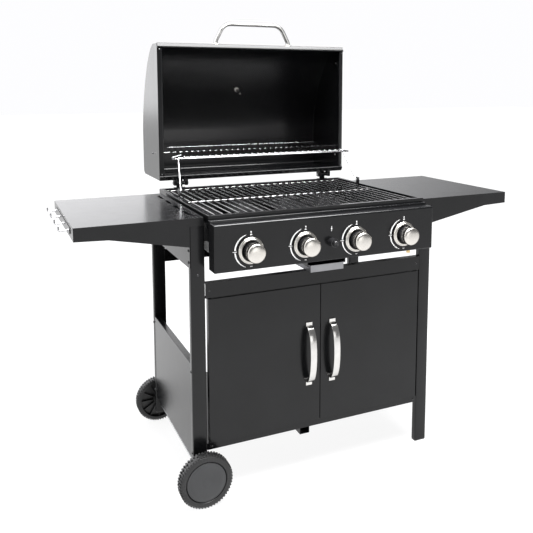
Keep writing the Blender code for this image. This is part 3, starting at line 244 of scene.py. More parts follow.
# ---------------------------------------------------------------- shapes
def put(name, data, body, slot, look, replaces=(), where=None, turn=None, sharp=32.0):
    """Makes a piece from a bmesh, mesh or curve, and lets it ride on its body."""
    if isinstance(data, bmesh.types.BMesh):
        mesh = bpy.data.meshes.new(name)
        bmesh.ops.recalc_face_normals(data, faces=data.faces)
        data.to_mesh(mesh)
        data.free()
        data = mesh
    if isinstance(data, bpy.types.Mesh):
        data.shade_smooth()
        data.set_sharp_from_angle(angle=math.radians(sharp))
    obj = bpy.data.objects.new(name, data)
    data.materials.append(look)
    bpy.context.scene.collection.objects.link(obj)
    if turn is not None:
        obj.rotation_euler = turn
    if where is not None:
        obj.location = where
    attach(obj, body)
    if replaces:
        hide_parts(*replaces)
    return obj


def soften(obj, width, segments=3, angle=32.0):
    rounding = obj.modifiers.new("rounding", "BEVEL")
    rounding.width = width
    rounding.segments = segments
    rounding.limit_method = "ANGLE"
    rounding.angle_limit = math.radians(angle)
    rounding.harden_normals = True
    return obj


def lathe(profile, segments=72):
    """A surface turned about Z from (radius, height) points; a radius of 0 closes it."""
    bm = bmesh.new()
    rings = []
    for radius, height in profile:
        if radius < 1e-6:
            rings.append([bm.verts.new((0.0, 0.0, height))] * segments)
            continue
        angles = [2 * math.pi * i / segments for i in range(segments)]
        rings.append([bm.verts.new((radius * math.cos(a), radius * math.sin(a), height)) for a in angles])
    for upper, lower in zip(rings, rings[1:]):
        for i in range(segments):
            j = (i + 1) % segments
            corners = list(dict.fromkeys((upper[i], upper[j], lower[j], lower[i])))
            if len(corners) > 2:
                bm.faces.new(corners)
    return bm


def rounded(points, radius, steps=6):
    """Replaces each inner corner of a path by an arc."""
    points = [Vector(p) for p in points]
    path = [points[0]]
    for before, corner, after in zip(points, points[1:], points[2:]):
        back, ahead = (before - corner).normalized(), (after - corner).normalized()
        half_angle = back.angle(ahead) / 2
        reach = min(radius / math.tan(half_angle), (before - corner).length * 0.49,
                    (after - corner).length * 0.49)
        start, end = corner + back * reach, corner + ahead * reach
        centre = corner + (back + ahead).normalized() * (reach / math.cos(half_angle))
        sweep = (start - centre).angle(end - centre)
        for i in range(steps + 1):
            t = i / steps
            aim = (start - centre) * math.sin((1 - t) * sweep) + (end - centre) * math.sin(t * sweep)
            path.append(centre + aim / math.sin(sweep))
    return path + [points[-1]]


def wires(name, runs, body, slot, look, replaces=()):
    """Round rods and bent wires in one piece; runs are (points in the cart's coordinates, radius)."""
    curve = bpy.data.curves.new(name, "CURVE")
    curve.dimensions = "3D"
    curve.bevel_depth = 1.0
    curve.bevel_resolution = 3
    curve.use_fill_caps = True
    for points, radius in runs:
        spline = curve.splines.new("POLY")
        spline.points.add(len(points) - 1)
        spline.use_smooth = True
        for point, place in zip(spline.points, points):
            point.co = (*at(*place), 1.0)
            point.radius = radius
    return put(name, curve, body, slot, look, replaces)


def slab(bm, corner, opposite):
    """A block between two corners in the cart's coordinates."""
    size = [abs(b - a) for a, b in zip(corner, opposite)]
    centre = at(*[(a + b) / 2 for a, b in zip(corner, opposite)])
    block(bm, Matrix.Translation(centre), size)


def block(bm, place, size):
    bmesh.ops.create_cube(bm, size=1.0, matrix=place @ Matrix.Diagonal((*size, 1.0)))


def skin(bm, rows, closed=True):
    """Faces between rows of vertices, and over the first and last row."""
    count = len(rows[0])
    for upper, lower in zip(rows, rows[1:]):
        for i in range(count if closed else count - 1):
            j = (i + 1) % count
            bm.faces.new((upper[i], upper[j], lower[j], lower[i]))
    for row in (rows[0], rows[-1]):
        bm.faces.new(row)


def swept(section, start, end, along):
    """A closed section run along one axis; the section's points are on the other two, in order."""
    bm = bmesh.new()
    rows = []
    for place in (start, end):
        points = [[*point[:along], place, *point[along:]] for point in section]
        rows.append([bm.verts.new(at(*point)) for point in points])
    skin(bm, rows)
    return bm


def arc(centre, radius, first, last, steps):
    """Points of an arc in a plane, angles in degrees."""
    angles = [math.radians(first + (last - first) * i / steps) for i in range(steps + 1)]
    return [(centre[0] + radius * math.cos(a), centre[1] + radius * math.sin(a)) for a in angles]


# ---------------------------------------------------------------- folded sheet
SHEET = 0.0012
BEND_STEPS = 4
CUT_EDGE = 0.00025                        # how far a cut edge of the sheet is broken
BEND_ANGLE = math.radians(35.0)
FOLDS = {"side_shelf_left": 0.0055, "side_shelf_right": 0.0055, "door_left": 0.0022, "door_right": 0.0022,
         "bottom_shelf": 0.0024, "header_rail": 0.0022, "rear_rail": 0.0022, "side_panel_left": 0.0016,
         "side_panel_right": 0.0016, "firebox": 0.0018, "drip_tray": 0.0016, "tray_hanger": 0.0014,
         "bottom_brace": 0.0012, "lid_hinge_bracket_left": 0.0007, "lid_hinge_bracket_right": 0.0007}


def make_folded():
    for node, radius in FOLDS.items():
        fold(node, radius, TRAY_STEEL if node == "drip_tray" else None)


def fold(node, radius, look=None):
    """A CAD node's shape with its bends rounded: wide faces meet in a bend, cut edges stay crisp."""
    bm = bmesh.new()
    bm.from_mesh(NODES[node].data)
    bmesh.ops.remove_doubles(bm, verts=bm.verts, dist=0.00002)
    bmesh.ops.dissolve_limit(bm, angle_limit=math.radians(0.6), verts=bm.verts, edges=bm.edges)
    bmesh.ops.recalc_face_normals(bm, faces=bm.faces)
    weights = bm.edges.layers.float.new("bevel_weight_edge")
    for edge in bm.edges:
        if len(edge.link_faces) != 2 or edge.calc_face_angle() < BEND_ANGLE:
            continue
        widths = [face.calc_area() / max(e.calc_length() for e in face.edges) for face in edge.link_faces]
        bend = min(widths) > 2.2 * SHEET and edge.calc_length() > 4 * radius
        width = radius if edge.is_convex else max(radius - SHEET, 0.0003)
        edge[weights] = (width if bend else CUT_EDGE) / radius
    slot = SLOT_OF[node]
    obj = put(f"{node}_sheet", bm, BODY_OF[node], slot, look or LOOKS[slot], (node,))
    weighted_bevel(obj, radius, BEND_STEPS)
    bake(obj)
    flat_faces(obj)


def weighted_bevel(obj, width, segments):
    rounding = obj.modifiers.new("bends", "BEVEL")
    rounding.width = width
    rounding.segments = segments
    rounding.limit_method = "WEIGHT"


def bake(obj):
    """Applies the bends, and drops any face that a bend has folded over on itself."""
    bent = bpy.data.meshes.new_from_object(obj.evaluated_get(bpy.context.evaluated_depsgraph_get()))
    bm = bmesh.new()
    bm.from_mesh(bent)
    covered = dict.fromkeys(bm.faces, 0.0)
    for corners in bm.calc_loop_triangles():
        a, b, c = (corner.vert.co for corner in corners)
        covered[corners[0].face] += (b - a).cross(c - a).length / 2
    folded = [face for face, area in covered.items() if area > 1.1 * face.calc_area() + 1e-7]
    bmesh.ops.delete(bm, geom=folded, context="FACES_ONLY")
    bm.to_mesh(bent)
    bm.free()
    bent.name = obj.name
    obj.modifiers.clear()
    obj.data = bent


def flat_faces(obj):
    """Keeps wide faces flat beside rounded edges."""
    flat = obj.modifiers.new("flat_faces", "WEIGHTED_NORMAL")
    flat.weight = 100
    flat.keep_sharp = True


def seamed_shell(name, path, half, body, replaces, seam, sharp=32.0):
    """Sheet that follows a (y, z) path between two side panels, open from the path's end to its start."""
    bm = bmesh.new()
    skin(bm, [[bm.verts.new(at(x, y, z)) for y, z in path] for x in (-half, half)], closed=False)
    weights = bm.edges.layers.float.new("bevel_weight_edge")
    for edge in bm.edges:
        start, end = edge.verts
        if len(edge.link_faces) == 2 and abs(start.co.x - end.co.x) < half:
            edge[weights] = 1.0
    shell = put(name, bm, body, "black_steel", POWDER, replaces, sharp=sharp)
    weighted_bevel(shell, seam, 3)
    sheet = shell.modifiers.new("sheet", "SOLIDIFY")
    sheet.thickness = SHEET
    sheet.offset = -1.0
    sheet.use_even_offset = True
    flat_faces(shell)


# ---------------------------------------------------------------- posts and panel
POST_CORNER = 0.0032
PLUG = 0.004
PANEL_RISE = 0.0062                       # the step at the back of the panel's top
PANEL_STEP = 0.014


def make_posts():
    """Posts with rounded corners, and a plastic plug in each foot."""
    for side in ("left", "right"):
        for end in ("front", "rear"):
            node = f"post_{end}_{side}"
            a, b = span(node)
            section = rounded_rectangle(a, b, POST_CORNER)
            put(f"{node}_tube", swept(section, a.z + PLUG, b.z, 2), "cart", "black_steel", POWDER, (node,))
            centre = (a + b) / 2
            inset = [((x - centre.x) * 0.985 + centre.x, (y - centre.y) * 0.97 + centre.y)
                     for x, y in section]
            put(f"{node}_plug", swept(inset, a.z, a.z + PLUG, 2), "cart", "black_plastic", RUBBER_GREY)


def rounded_rectangle(a, b, radius, steps=5):
    """The outline between two corners, anticlockwise, with an arc in each corner."""
    corners = [((b.x - radius, b.y - radius), 0), ((a.x + radius, b.y - radius), 90),
               ((a.x + radius, a.y + radius), 180), ((b.x - radius, a.y + radius), 270)]
    return [point for centre, first in corners for point in arc(centre, radius, first, first + 90, steps)]


def make_panel():
    """The control panel: a folded case, open at the back, with a step along its top."""
    a, b = span("control_panel")
    top, step = b.z - PANEL_RISE, b.y - PANEL_STEP
    corners = [((a.y, a.z), 0.0035), ((a.y, top), PANEL_RISE), ((step, top), 0.0),
               ((step + 0.001, b.z), 0.0018)]
    outline = [(b.y, a.z)] + [corner for corner, radius in corners] + [(b.y, b.z)]
    path = outline[:1]
    for before, (corner, radius), after in zip(outline, corners, outline[2:]):
        if radius:
            bend = rounded([(0.0, *before), (0.0, *corner), (0.0, *after)], radius, 7)[1:-1]
            path += [(point.y, point.z) for point in bend]
        else:
            path.append(corner)
    seamed_shell("control_panel_case", path + outline[-1:], b.x, "cart", ("control_panel",), 0.0022)


# ---------------------------------------------------------------- lid
LID_BOTTOM = 0.8195
LID_FRONT_DEPTH = 0.062
LID_STRAIGHT = 0.150
LID_ROUNDNESS = 1.25
LID_BEND = 0.022
LID_STEPS = 44
THERMO_AT = 8.5 / 14                      # place along the lid's curve
HEM = 0.015
HEM_SLOPE = 0.007
HEM_GAP = 0.0012
LUG_NEAR, LUG_FAR = 0.0124, 0.0244        # a hinge lug's faces, from the middle of its pin
LUG_HALF = 0.010
LUG_DROP = 0.0075


def lid_size():
    """The lid's half width, rim, back, bottom and top."""
    a, b = span("lid")
    return b.x, a.y, b.y, LID_BOTTOM, b.z


def lid_curve(t):
    rim, back, bottom, top = lid_size()[1:]
    start, end = rim + LID_FRONT_DEPTH, bottom + LID_STRAIGHT
    angle = t * math.pi / 2
    return (start + (back - start) * math.sin(angle) ** LID_ROUNDNESS,
            end + (top - end) * math.cos(angle) ** LID_ROUNDNESS)


def make_lid():
    """A curved sheet and two side panels, with a sloped hem round the mouth."""
    half, rim, back, bottom, top = lid_size()
    mouth = rim + HEM_SLOPE
    path = [(mouth, top)] + [lid_curve(i / LID_STEPS) for i in range(LID_STEPS + 1)]
    path += arc((back - LID_BEND, bottom + LID_BEND), LID_BEND, 0, -90, 8)
    path.append((mouth, bottom))
    seamed_shell("lid_shell", path, half, "lid", ("lid",), 0.0020, sharp=40.0)
    make_hems()
    make_lugs()


def make_hems():
    """Four folded bars; the side ones stand between the top and bottom ones."""
    half, rim, _, bottom, top = lid_size()
    half, bottom, top = half - SHEET, bottom + SHEET, top - SHEET
    section = [(0.0, HEM_SLOPE), (0.0, HEM_SLOPE - 0.0008), (0.0095, 0.0006), (0.0112, 0.0),
               (0.0128, 0.0002), (0.0142, 0.0012), (HEM, 0.003), (HEM, HEM_SLOPE + 0.003),
               (0.0, HEM_SLOPE + 0.003)]
    for name, edge, s in (("top", top, 1), ("bottom", bottom, -1)):
        bar = [(rim + depth, edge - s * inward) for inward, depth in section]
        put(f"lid_hem_{name}", swept(bar, -half, half, 0), "lid", "black_steel", POWDER, sharp=50.0)
    for name, s in (("left", -1), ("right", 1)):
        bar = [(s * (half - inward), rim + depth) for inward, depth in section]
        post = swept(bar, bottom + HEM + HEM_GAP, top - HEM - HEM_GAP, 2)
        put(f"lid_hem_{name}", post, "lid", "black_steel", POWDER, sharp=50.0)


def make_lugs():
    bm = bmesh.new()
    for pin in ("lid_hinge_pin_left", "lid_hinge_pin_right"):
        a, b = span(pin)
        x, y, z = (a + b) / 2
        for side in (-1, 1):
            slab(bm, (x + side * LUG_NEAR, y - LUG_HALF, z - LUG_DROP),
                 (x + side * LUG_FAR, y + LUG_HALF, LID_BOTTOM + SHEET * 0.8))
    soften(put("lid_hinge_lugs", bm, "lid", "black_steel", POWDER), 0.0025, 3)


HANDLE_WIDE, HANDLE_THIN = 0.0105, 0.0065
HANDLE_HALF, HANDLE_TOP_HALF = 0.1345, 0.104
HANDLE_UPRIGHT = 0.012
HANDLE_CORNER = 0.042


def make_lid_handle():
    """An oval steel tube bent into a handle, on two round collars."""
    a, b = span("lid_handle")
    y, foot = (a.y + b.y) / 2, a.z
    knee, bar = foot + HANDLE_UPRIGHT, b.z - HANDLE_THIN
    path = rounded([(-HANDLE_HALF, y, foot), (-HANDLE_HALF, y, knee), (-HANDLE_TOP_HALF, y, bar),
                    (HANDLE_TOP_HALF, y, bar), (HANDLE_HALF, y, knee), (HANDLE_HALF, y, foot)],
                   HANDLE_CORNER, 14)
    oval = [(HANDLE_WIDE * math.cos(turn), HANDLE_THIN * math.sin(turn))
            for turn in (2 * math.pi * k / 28 for k in range(28))]
    bm = bmesh.new()
    rows = []
    for i, point in enumerate(path):
        side = direction(path, i).cross(Vector((0.0, 1.0, 0.0))).normalized()
        rows.append([bm.verts.new(at(*(point + Vector((0.0, u, 0.0)) + side * v))) for u, v in oval])
    skin(bm, rows)
    put("lid_handle_tube", bm, "lid", "satin_nickel", SATIN_X, ("lid_handle",))
    for name, s in (("left", -1), ("right", 1)):
        collar = lathe([(0.0, 0.0035), (0.0105, 0.0035), (0.0128, 0.0028), (0.0136, 0.0016), (0.0136, 0.0),
                        (0.0, 0.0)], 48)
        put(f"lid_handle_collar_{name}", collar, "lid", "satin_nickel", NICKEL,
            where=at(s * HANDLE_HALF, y, foot))


def direction(path, i):
    """Which way a path runs at one of its points."""
    return (path[min(i + 1, len(path) - 1)] - path[max(i - 1, 0)]).normalized()


def make_thermometer():
    """A dial on the lid's curve: case, pale face with ticks, needle and glass; probe and nut inside."""
    before, after = lid_curve(THERMO_AT - 0.01), lid_curve(THERMO_AT + 0.01)
    along = Vector((0.0, after[0] - before[0], after[1] - before[1])).normalized()
    turn = (math.atan2(along.z, along.y), 0.0, 0.0)
    centre = at(0.0, *lid_curve(THERMO_AT))
    a, b = span("thermometer")
    dial = (b.x - a.x) / 2
    face = 0.0092

    def dial_part(name, data, slot, look, replaces=()):
        put(f"thermometer_{name}", data, "lid", slot, look, replaces, centre, turn)

    bezel = [(dial - 0.0035, face), (dial - 0.0030, 0.0122), (dial - 0.0015, 0.0130),
             (dial - 0.0003, 0.0118), (dial, 0.0100), (dial, 0.0040), (dial - 0.006, 0.0016)]
    stem = [(0.0045, 0.0014), (0.0045, -0.0012), (0.0080, -0.0024), (0.0085, -0.0070), (0.0060, -0.0076),
            (0.0042, -0.0078), (0.0040, -0.040), (0.0026, -0.0448), (0.0, -0.0450)]
    dial_part("case", lathe(bezel + stem), "satin_nickel", NICKEL, ("thermometer",))
    plate = [(0.0, face), (dial - 0.0034, face), (dial - 0.0034, face - 0.001), (0.0, face - 0.001)]
    dial_part("face", lathe(plate), "satin_nickel", PRINT)
    dial_part("ticks", dial_ticks(dial, face + 0.0001), "black_plastic", DARK_PRINT_AND_PORT_SHADE)
    dial_part("needle", dial_needle(dial * 0.66, dial * 0.16, face), "black_plastic", DARK_PRINT_AND_PORT_SHADE)
    glass = [(0.0, 0.0122), (dial - 0.0036, 0.0118), (dial - 0.0036, 0.0110), (0.0, 0.0112)]
    dial_part("glass", lathe(glass), "satin_nickel", GLASS)


def dial_ticks(dial, height):
    """Marks round three quarters of the dial, every fifth one long."""
    bm = bmesh.new()
    for i in range(31):
        inner, width = (0.66, 0.0011) if i % 5 == 0 else (0.74, 0.0006)
        inner, outer = dial * inner, dial * 0.82
        spin = Matrix.Rotation(math.radians(225.0 - 9.0 * i), 4, "Z")
        place = Matrix.Translation(((inner + outer) / 2, 0.0, height))
        block(bm, spin @ place, (outer - inner, width, 0.0002))
    return bm


def dial_needle(tip, tail, face):
    bm = bmesh.new()
    angle = Matrix.Rotation(math.radians(218.0), 4, "Z")
    outline = [(tip, 0.0003), (0.0, 0.0014), (-tail, 0.0009), (-tail, -0.0009), (0.0, -0.0014),
               (tip, -0.0003)]
    skin(bm, [[bm.verts.new(angle @ Vector((x, y, face + lift))) for x, y in outline]
              for lift in (0.0007, 0.0011)])
    return bm


# ---------------------------------------------------------------- wire racks, grates and burners
RACK_ROD, RACK_WIRE, RACK_PIVOT, RACK_REAR = 0.0019, 0.0019, 0.0020, 0.0014
RACK_RODS = 28
RACK_HALF = 0.2845
RACK_NOSE = 0.0085                        # how far the rods turn down in front
RACK_TURNUP = (0.028, 0.015)
RACK_REACH = 0.160                        # from the leg's top to the pivot in the lid
RACK_RISE = 0.003
LEG_WIRE = 0.002
LEG_FOOT_HALF, LEG_TOP_HALF = 0.316, 0.302
GRATE_RODS = 14
GRATE_ROD, GRATE_CROSS = 0.0022, 0.0024


def make_warming_rack():
    a, b = span("warming_rack")
    leg_top = span("rack_leg")[1]
    pivot_y, pivot_z = leg_top.y - LEG_WIRE + RACK_REACH, leg_top.z - LEG_WIRE + RACK_RISE
    rod_z, nose_y, reach = pivot_z + 0.0026, a.y + 0.0024, b.x
    front_z, wire_z = rod_z - RACK_NOSE, rod_z - RACK_NOSE + 0.001
    up = (pivot_y + RACK_TURNUP[0], pivot_z + RACK_TURNUP[1])
    runs = []
    for i in range(RACK_RODS):
        x = -RACK_HALF + 2 * RACK_HALF * i / (RACK_RODS - 1)
        rod = [(x, nose_y, front_z), (x, nose_y, rod_z), (x, pivot_y + 0.006, rod_z), (x, *up)]
        runs.append((rounded(rod, 0.004, 3), RACK_ROD))
    ear, back = reach - 0.027, nose_y + 0.041
    frame_wire = [(-RACK_HALF, back, rod_z), (-ear, back, wire_z), (-ear, nose_y, wire_z),
                  (ear, nose_y, wire_z), (ear, back, wire_z), (RACK_HALF, back, rod_z)]
    runs.append((rounded(frame_wire, 0.010, 6), RACK_WIRE))
    runs.append(([(-reach, pivot_y, pivot_z), (reach, pivot_y, pivot_z)], RACK_PIVOT))
    runs.append(([(-RACK_HALF - 0.003, *up), (RACK_HALF + 0.003, *up)], RACK_REAR))
    wires("warming_rack_wires", runs, "warming_rack", "chrome", CHROME, ("warming_rack",))


def make_rack_leg():
    a, b = span("rack_leg")
    foot, top = (a.y + LEG_WIRE, a.z + LEG_WIRE), (b.y - LEG_WIRE, b.z - LEG_WIRE)
    path = [(-b.x, *foot), (-LEG_FOOT_HALF, *foot), (-LEG_TOP_HALF, *top), (LEG_TOP_HALF, *top),
            (LEG_FOOT_HALF, *foot), (b.x, *foot)]
    wires("rack_leg_wire", [(rounded(path, 0.007, 6), 0.0021)], "rack_leg", "chrome", CHROME, ("rack_leg",))


def make_grates():
    for side in ("left", "right"):
        node = f"grate_{side}"
        a, b = span(node)
        runs = []
        for i in range(GRATE_RODS):
            x = a.x + 0.006 + (b.x - a.x - 0.012) * i / (GRATE_RODS - 1)
            runs.append(([(x, a.y, b.z - GRATE_ROD), (x, b.y, b.z - GRATE_ROD)], GRATE_ROD))
        for y in (a.y + 0.004, (a.y + b.y) / 2, b.y - 0.004):
            runs.append(([(a.x, y, a.z + GRATE_CROSS), (b.x, y, a.z + GRATE_CROSS)], GRATE_CROSS))
        wires(f"{node}_wires", runs, "cart", "enamelled_iron", GRATE_WIRE, (node,))


def make_burners():
    """Steel tubes with a row of slots on each side; each slot is a dark block, painted shade standing in for
    the hollow inside a port.
    """
    slots_each = 34
    for i in range(1, 5):
        node = f"burner_{i}"
        a, b = span(node)
        x, z, radius, length = (a.x + b.x) / 2, (a.z + b.z) / 2, (b.z - a.z) / 2, b.y - a.y
        # the skin runs to the closed end and doubles back to the end's chamfer
        tube = lathe([(radius * 0.74, 0.0), (radius * 0.98, 0.0), (radius, 0.001), (radius, length),
                      (radius, length - 0.001), (radius * 0.96, length), (0.0, length)], 48)
        put(f"{node}_tube", tube, "cart", "bare_steel", TUBE_STEEL, (node,), at(x, a.y, z),
            (-math.pi / 2, 0.0, 0.0))
        slots = bmesh.new()
        for s in (-1, 1):
            for k in range(slots_each):
                y = a.y + 0.075 + k * (length - 0.10) / (slots_each - 1)
                slab(slots, (x + s * radius * 0.995, y - 0.0008, z - 0.0025),
                     (x + s * radius * 0.9, y + 0.0008, z + 0.0025))
        # the ports are painted shade: dark blocks put where the holes' shadowed insides would be
        put(f"{node}_ports", slots, "cart", "bare_steel", DARK_PRINT_AND_PORT_SHADE)


# ---------------------------------------------------------------- knobs and marks
FACING_FRONT = (math.pi / 2, 0.0, 0.0)
SCALE_RADIUS = 0.0455
PRINT_PROUD, PRINT_SUNK = 0.00016, 0.00002


def panel_front():
    return low("control_panel").y


def on_panel(node):
    """The place on the panel's front behind a round node, the node's radius, and how far it stands out."""
    a, b = low(node), high(node)
    return Vector(((a.x + b.x) / 2, panel_front(), (a.z + b.z) / 2)), (b.x - a.x) / 2, panel_front() - a.y


def ribbed(profile, ribs, depth, segments):
    """A turned body with fine flutes along its side."""
    bm = lathe(profile, segments)
    for vert in bm.verts:
        radius = math.hypot(vert.co.x, vert.co.y)
        if radius > 1e-4:
            angle = math.atan2(vert.co.y, vert.co.x)
            scale = 1.0 - depth / radius * (0.5 - 0.5 * math.cos(ribs * angle))
            vert.co.x *= scale
            vert.co.y *= scale
    return bm


def make_knobs():
    """Each knob is a fluted grip under a domed cap with a line on it, in a dished bezel."""
    for i in range(1, 5):
        knob = f"knob_{i}"
        centre, r, out = on_panel(knob)
        ring = on_panel(f"bezel_{i}")[1]
        bezel = lathe([(ring - 0.0085, 0.0004), (ring - 0.0085, 0.0052), (ring - 0.0078, 0.0066),
                       (ring - 0.0066, 0.0069), (ring - 0.0048, 0.0062), (ring - 0.0036, 0.0052),
                       (ring - 0.0030, 0.0038), (ring - 0.0022, 0.0034), (ring - 0.0008, 0.0030),
                       (ring, 0.0018), (ring, 0.0004), (ring - 0.0085, 0.0004)], 96)
        put(f"bezel_{i}_ring", bezel, "cart", "satin_nickel", NICKEL, (f"bezel_{i}",), centre, FACING_FRONT)
        grip = ribbed([(0.0, out - 0.018), (r - 0.0022, out - 0.018), (r - 0.0018, out - 0.024),
                       (r - 0.0018, 0.0060), (r - 0.0030, 0.0040), (0.0046, 0.0038), (0.0046, 0.0200),
                       (0.0, 0.0200)], 36, 0.0011, 180)
        put(f"{knob}_grip", grip, knob, "satin_nickel", GLOSS_PLASTIC, (knob,), centre, FACING_FRONT)
        cap = lathe([(0.0, out), (r * 0.30, out - 0.0003), (r * 0.60, out - 0.0012),
                     (r * 0.80, out - 0.0024), (r * 0.90, out - 0.0036), (r * 0.965, out - 0.0056),
                     (r, out - 0.0085), (r, out - 0.0190), (r - 0.0008, out - 0.0200),
                     (r - 0.0021, out - 0.0203), (r - 0.0021, out - 0.0182), (0.0, out - 0.0182)], 96)
        put(f"{knob}_cap", cap, knob, "satin_nickel", NICKEL, where=centre, turn=FACING_FRONT)
        line = bmesh.new()
        lean = Matrix.Rotation(math.radians(-6.0), 4, "X")
        block(line, Matrix.Translation((0.0, r * 0.66, out - 0.0021)) @ lean, (0.0011, r * 0.34, 0.0011))
        mark = put(f"{knob}_line", line, knob, "satin_nickel", DARK_PRINT_AND_PORT_SHADE, where=centre, turn=FACING_FRONT)
        soften(mark, 0.0003, 2)


def make_igniter():
    centre, house, reach = on_panel("igniter_housing")
    button, out = on_panel("igniter_button")[1:]
    bore = button + 0.0004
    collar = lathe([(bore, reach - 0.007), (bore, reach - 0.0006), (button + 0.0010, reach),
                    (house - 0.0018, reach), (house - 0.0008, reach - 0.0006),
                    (house - 0.0004, reach - 0.002), (house - 0.0004, 0.0040), (house, 0.0032),
                    (house, 0.0003), (bore, 0.0003), (bore, reach - 0.007)])
    put("igniter_collar", collar, "cart", "black_plastic", GLOSS_PLASTIC, ("igniter_housing",), centre,
        FACING_FRONT)
    cap = lathe([(0.0, out - 0.0012), (button * 0.5, out - 0.0009), (button * 0.72, out - 0.0002),
                 (button * 0.84, out), (button - 0.0004, out - 0.0012), (button, out - 0.0028),
                 (button, 0.017), (0.0, 0.017)])
    put("igniter_cap", cap, "igniter_button", "black_plastic", GLOSS_PLASTIC, ("igniter_button",), centre,
        FACING_FRONT)


def printed(name, shapes):
    """White print on the panel's front; shapes are outlines as (x, z) from the frame's origin."""
    bm = bmesh.new()
    for shape in shapes:
        skin(bm, [[bm.verts.new((x, panel_front() - proud, z)) for x, z in shape]
                  for proud in (PRINT_PROUD, PRINT_SUNK)])
    put(name, bm, "cart", "black_steel", PRINT, sharp=20.0)


def box_outline(x, z, wide, tall):
    return [(x - wide / 2, z - tall / 2), (x + wide / 2, z - tall / 2), (x + wide / 2, z + tall / 2),
            (x - wide / 2, z + tall / 2)]


def stroke(centre, radius, first, last, widths, steps=20):
    """A curved stroke whose width runs from the first width through the second to the third."""
    outer, inner = [], []
    for i in range(steps + 1):
        t = i / steps
        width = widths[0] * (1 - t) ** 2 + 2 * widths[1] * t * (1 - t) + widths[2] * t ** 2
        angle = math.radians(first + (last - first) * t)
        for line, r in ((outer, radius + width / 2), (inner, radius - width / 2)):
            line.append((centre[0] + r * math.cos(angle), centre[1] + r * math.sin(angle)))
    return outer + inner[::-1]


def make_marks():
    """A generic flame scale beside each knob, and a spark over the igniter."""
    for i in range(1, 5):
        x, z = middle(f"knob_{i}").x, middle(f"knob_{i}").z
        printed(f"knob_{i}_print", [
            stroke((x, z), SCALE_RADIUS, 108, 176, (0.0016, 0.0046, 0.0040)),
            stroke((x, z), SCALE_RADIUS, 184, 250, (0.0040, 0.0036, 0.0012)),
            box_outline(x - 0.0460, z, 0.0110, 0.0016),
            box_outline(x, z + 0.0425, 0.0062, 0.0022),
            box_outline(x, z - 0.0425, 0.0062, 0.0020),
            arc((x, z + 0.0500), 0.0023, 0, 345, 23),
            box_outline(x, z + 0.04575, 0.0018, 0.0025)])
    x, z = middle("igniter_button").x, middle("igniter_button").z + 0.0375
    spark = [(0.0012, 0.0085), (-0.0032, -0.0008), (-0.0006, -0.0004), (-0.0012, -0.0085), (0.0032, 0.0012),
             (0.0006, 0.0008)]
    printed("spark_print", [[(x + across, z + up) for across, up in spark]])


# ---------------------------------------------------------------- doors
STRAP = 0.0032
STRAP_FOOT = 0.012
STRAP_EDGE = 0.0013
STRAP_STEPS = 56
STRAP_FULLNESS = 0.8


def make_door_handles():
    """Bowed straps with rounded edges, on two flat feet."""
    for side in ("left", "right"):
        node = f"door_handle_{side}"
        a, b = span(node)
        centre, reach = (a.z + b.z) / 2, (b.z - a.z) / 2 - STRAP_FOOT
        x, half = (a.x + b.x) / 2, (b.x - a.x) / 2
        back, bow = b.y - STRAP / 2, b.y - a.y - STRAP
        path = [Vector((0.0, back, b.z))]
        for i in range(STRAP_STEPS + 1):
            t = math.pi * i / STRAP_STEPS
            forward = back - bow * math.sin(t) ** STRAP_FULLNESS
            path.append(Vector((0.0, forward, centre + reach * math.cos(t))))
        path.append(Vector((0.0, back, a.z)))
        corner = Vector((half, STRAP_EDGE + 0.0003))
        section = rounded_rectangle(-corner, corner, STRAP_EDGE, 4)
        bm = bmesh.new()
        rows = []
        for i, point in enumerate(path):
            along = direction(path, i)
            rows.append([bm.verts.new(at(x + u, point.y + along.z * v, point.z - along.y * v))
                         for u, v in section])
        skin(bm, rows)
        put(f"{node}_strap", bm, f"door_{side}", "chrome", HANDLE_CHROME, (node,))


# ---------------------------------------------------------------- wheels
TREAD_DEPTH = 0.0034
TREAD_LUGS = 54
SPOKES = 12
HUB_RADIUS = 0.020
RIM_INSET = 0.017
AXLE_HOLE = 0.0046


def make_wheels():
    """A knobbly tyre on a spoked rim, with a smooth cap outside; each wheel is turned about its own Z."""
    for end, s in (("front", -1), ("rear", 1)):
        node = f"wheel_{end}"
        a, b = span(node)
        radius, half = (b.z - a.z) / 2, (b.y - a.y) / 2
        cap = (high(f"hubcap_{end}").z - low(f"hubcap_{end}").z) / 2
        placed = (middle(node), (-s * math.pi / 2, 0.0, 0.0))
        tyre = tyre_body(radius, half, cap)
        put(f"{node}_tyre", tyre, node, "black_plastic", RUBBER_GREY, (node,), *placed)
        lugs = tyre_lugs(radius, half)
        soften(put(f"{node}_lugs", lugs, node, "black_plastic", RUBBER_GREY, (), *placed), 0.0004, 1)
        spokes = wheel_spokes(radius)
        soften(put(f"{node}_spokes", spokes, node, "black_plastic", RUBBER_GREY, (), *placed), 0.0005, 2)
        plate = cap_plate(cap, half)
        put(f"hubcap_{end}_plate", plate, node, "black_plastic", CAP_GREY, (f"hubcap_{end}",), *placed)


def tyre_body(radius, half, cap):
    tread, shoulder, wall = radius - TREAD_DEPTH, radius - 0.0045, radius - 0.0075
    return lathe([(AXLE_HOLE, 0.006), (0.018, 0.006), (HUB_RADIUS, 0.003), (cap - 0.003, 0.003),
                  (cap + 0.001, half - 0.0035), (cap + 0.0025, half - 0.0012), (cap + 0.0045, half - 0.0004),
                  (wall, half - 0.0004), (shoulder, half - 0.0016), (tread, half - 0.005),
                  (tread, -half + 0.005), (shoulder, -half + 0.0016), (wall, -half + 0.0004),
                  (radius - 0.014, -half + 0.0004), (radius - RIM_INSET, -0.003), (HUB_RADIUS, -0.003),
                  (0.016, -half + 0.002), (AXLE_HOLE, -half + 0.002), (AXLE_HOLE, 0.006)], 144)


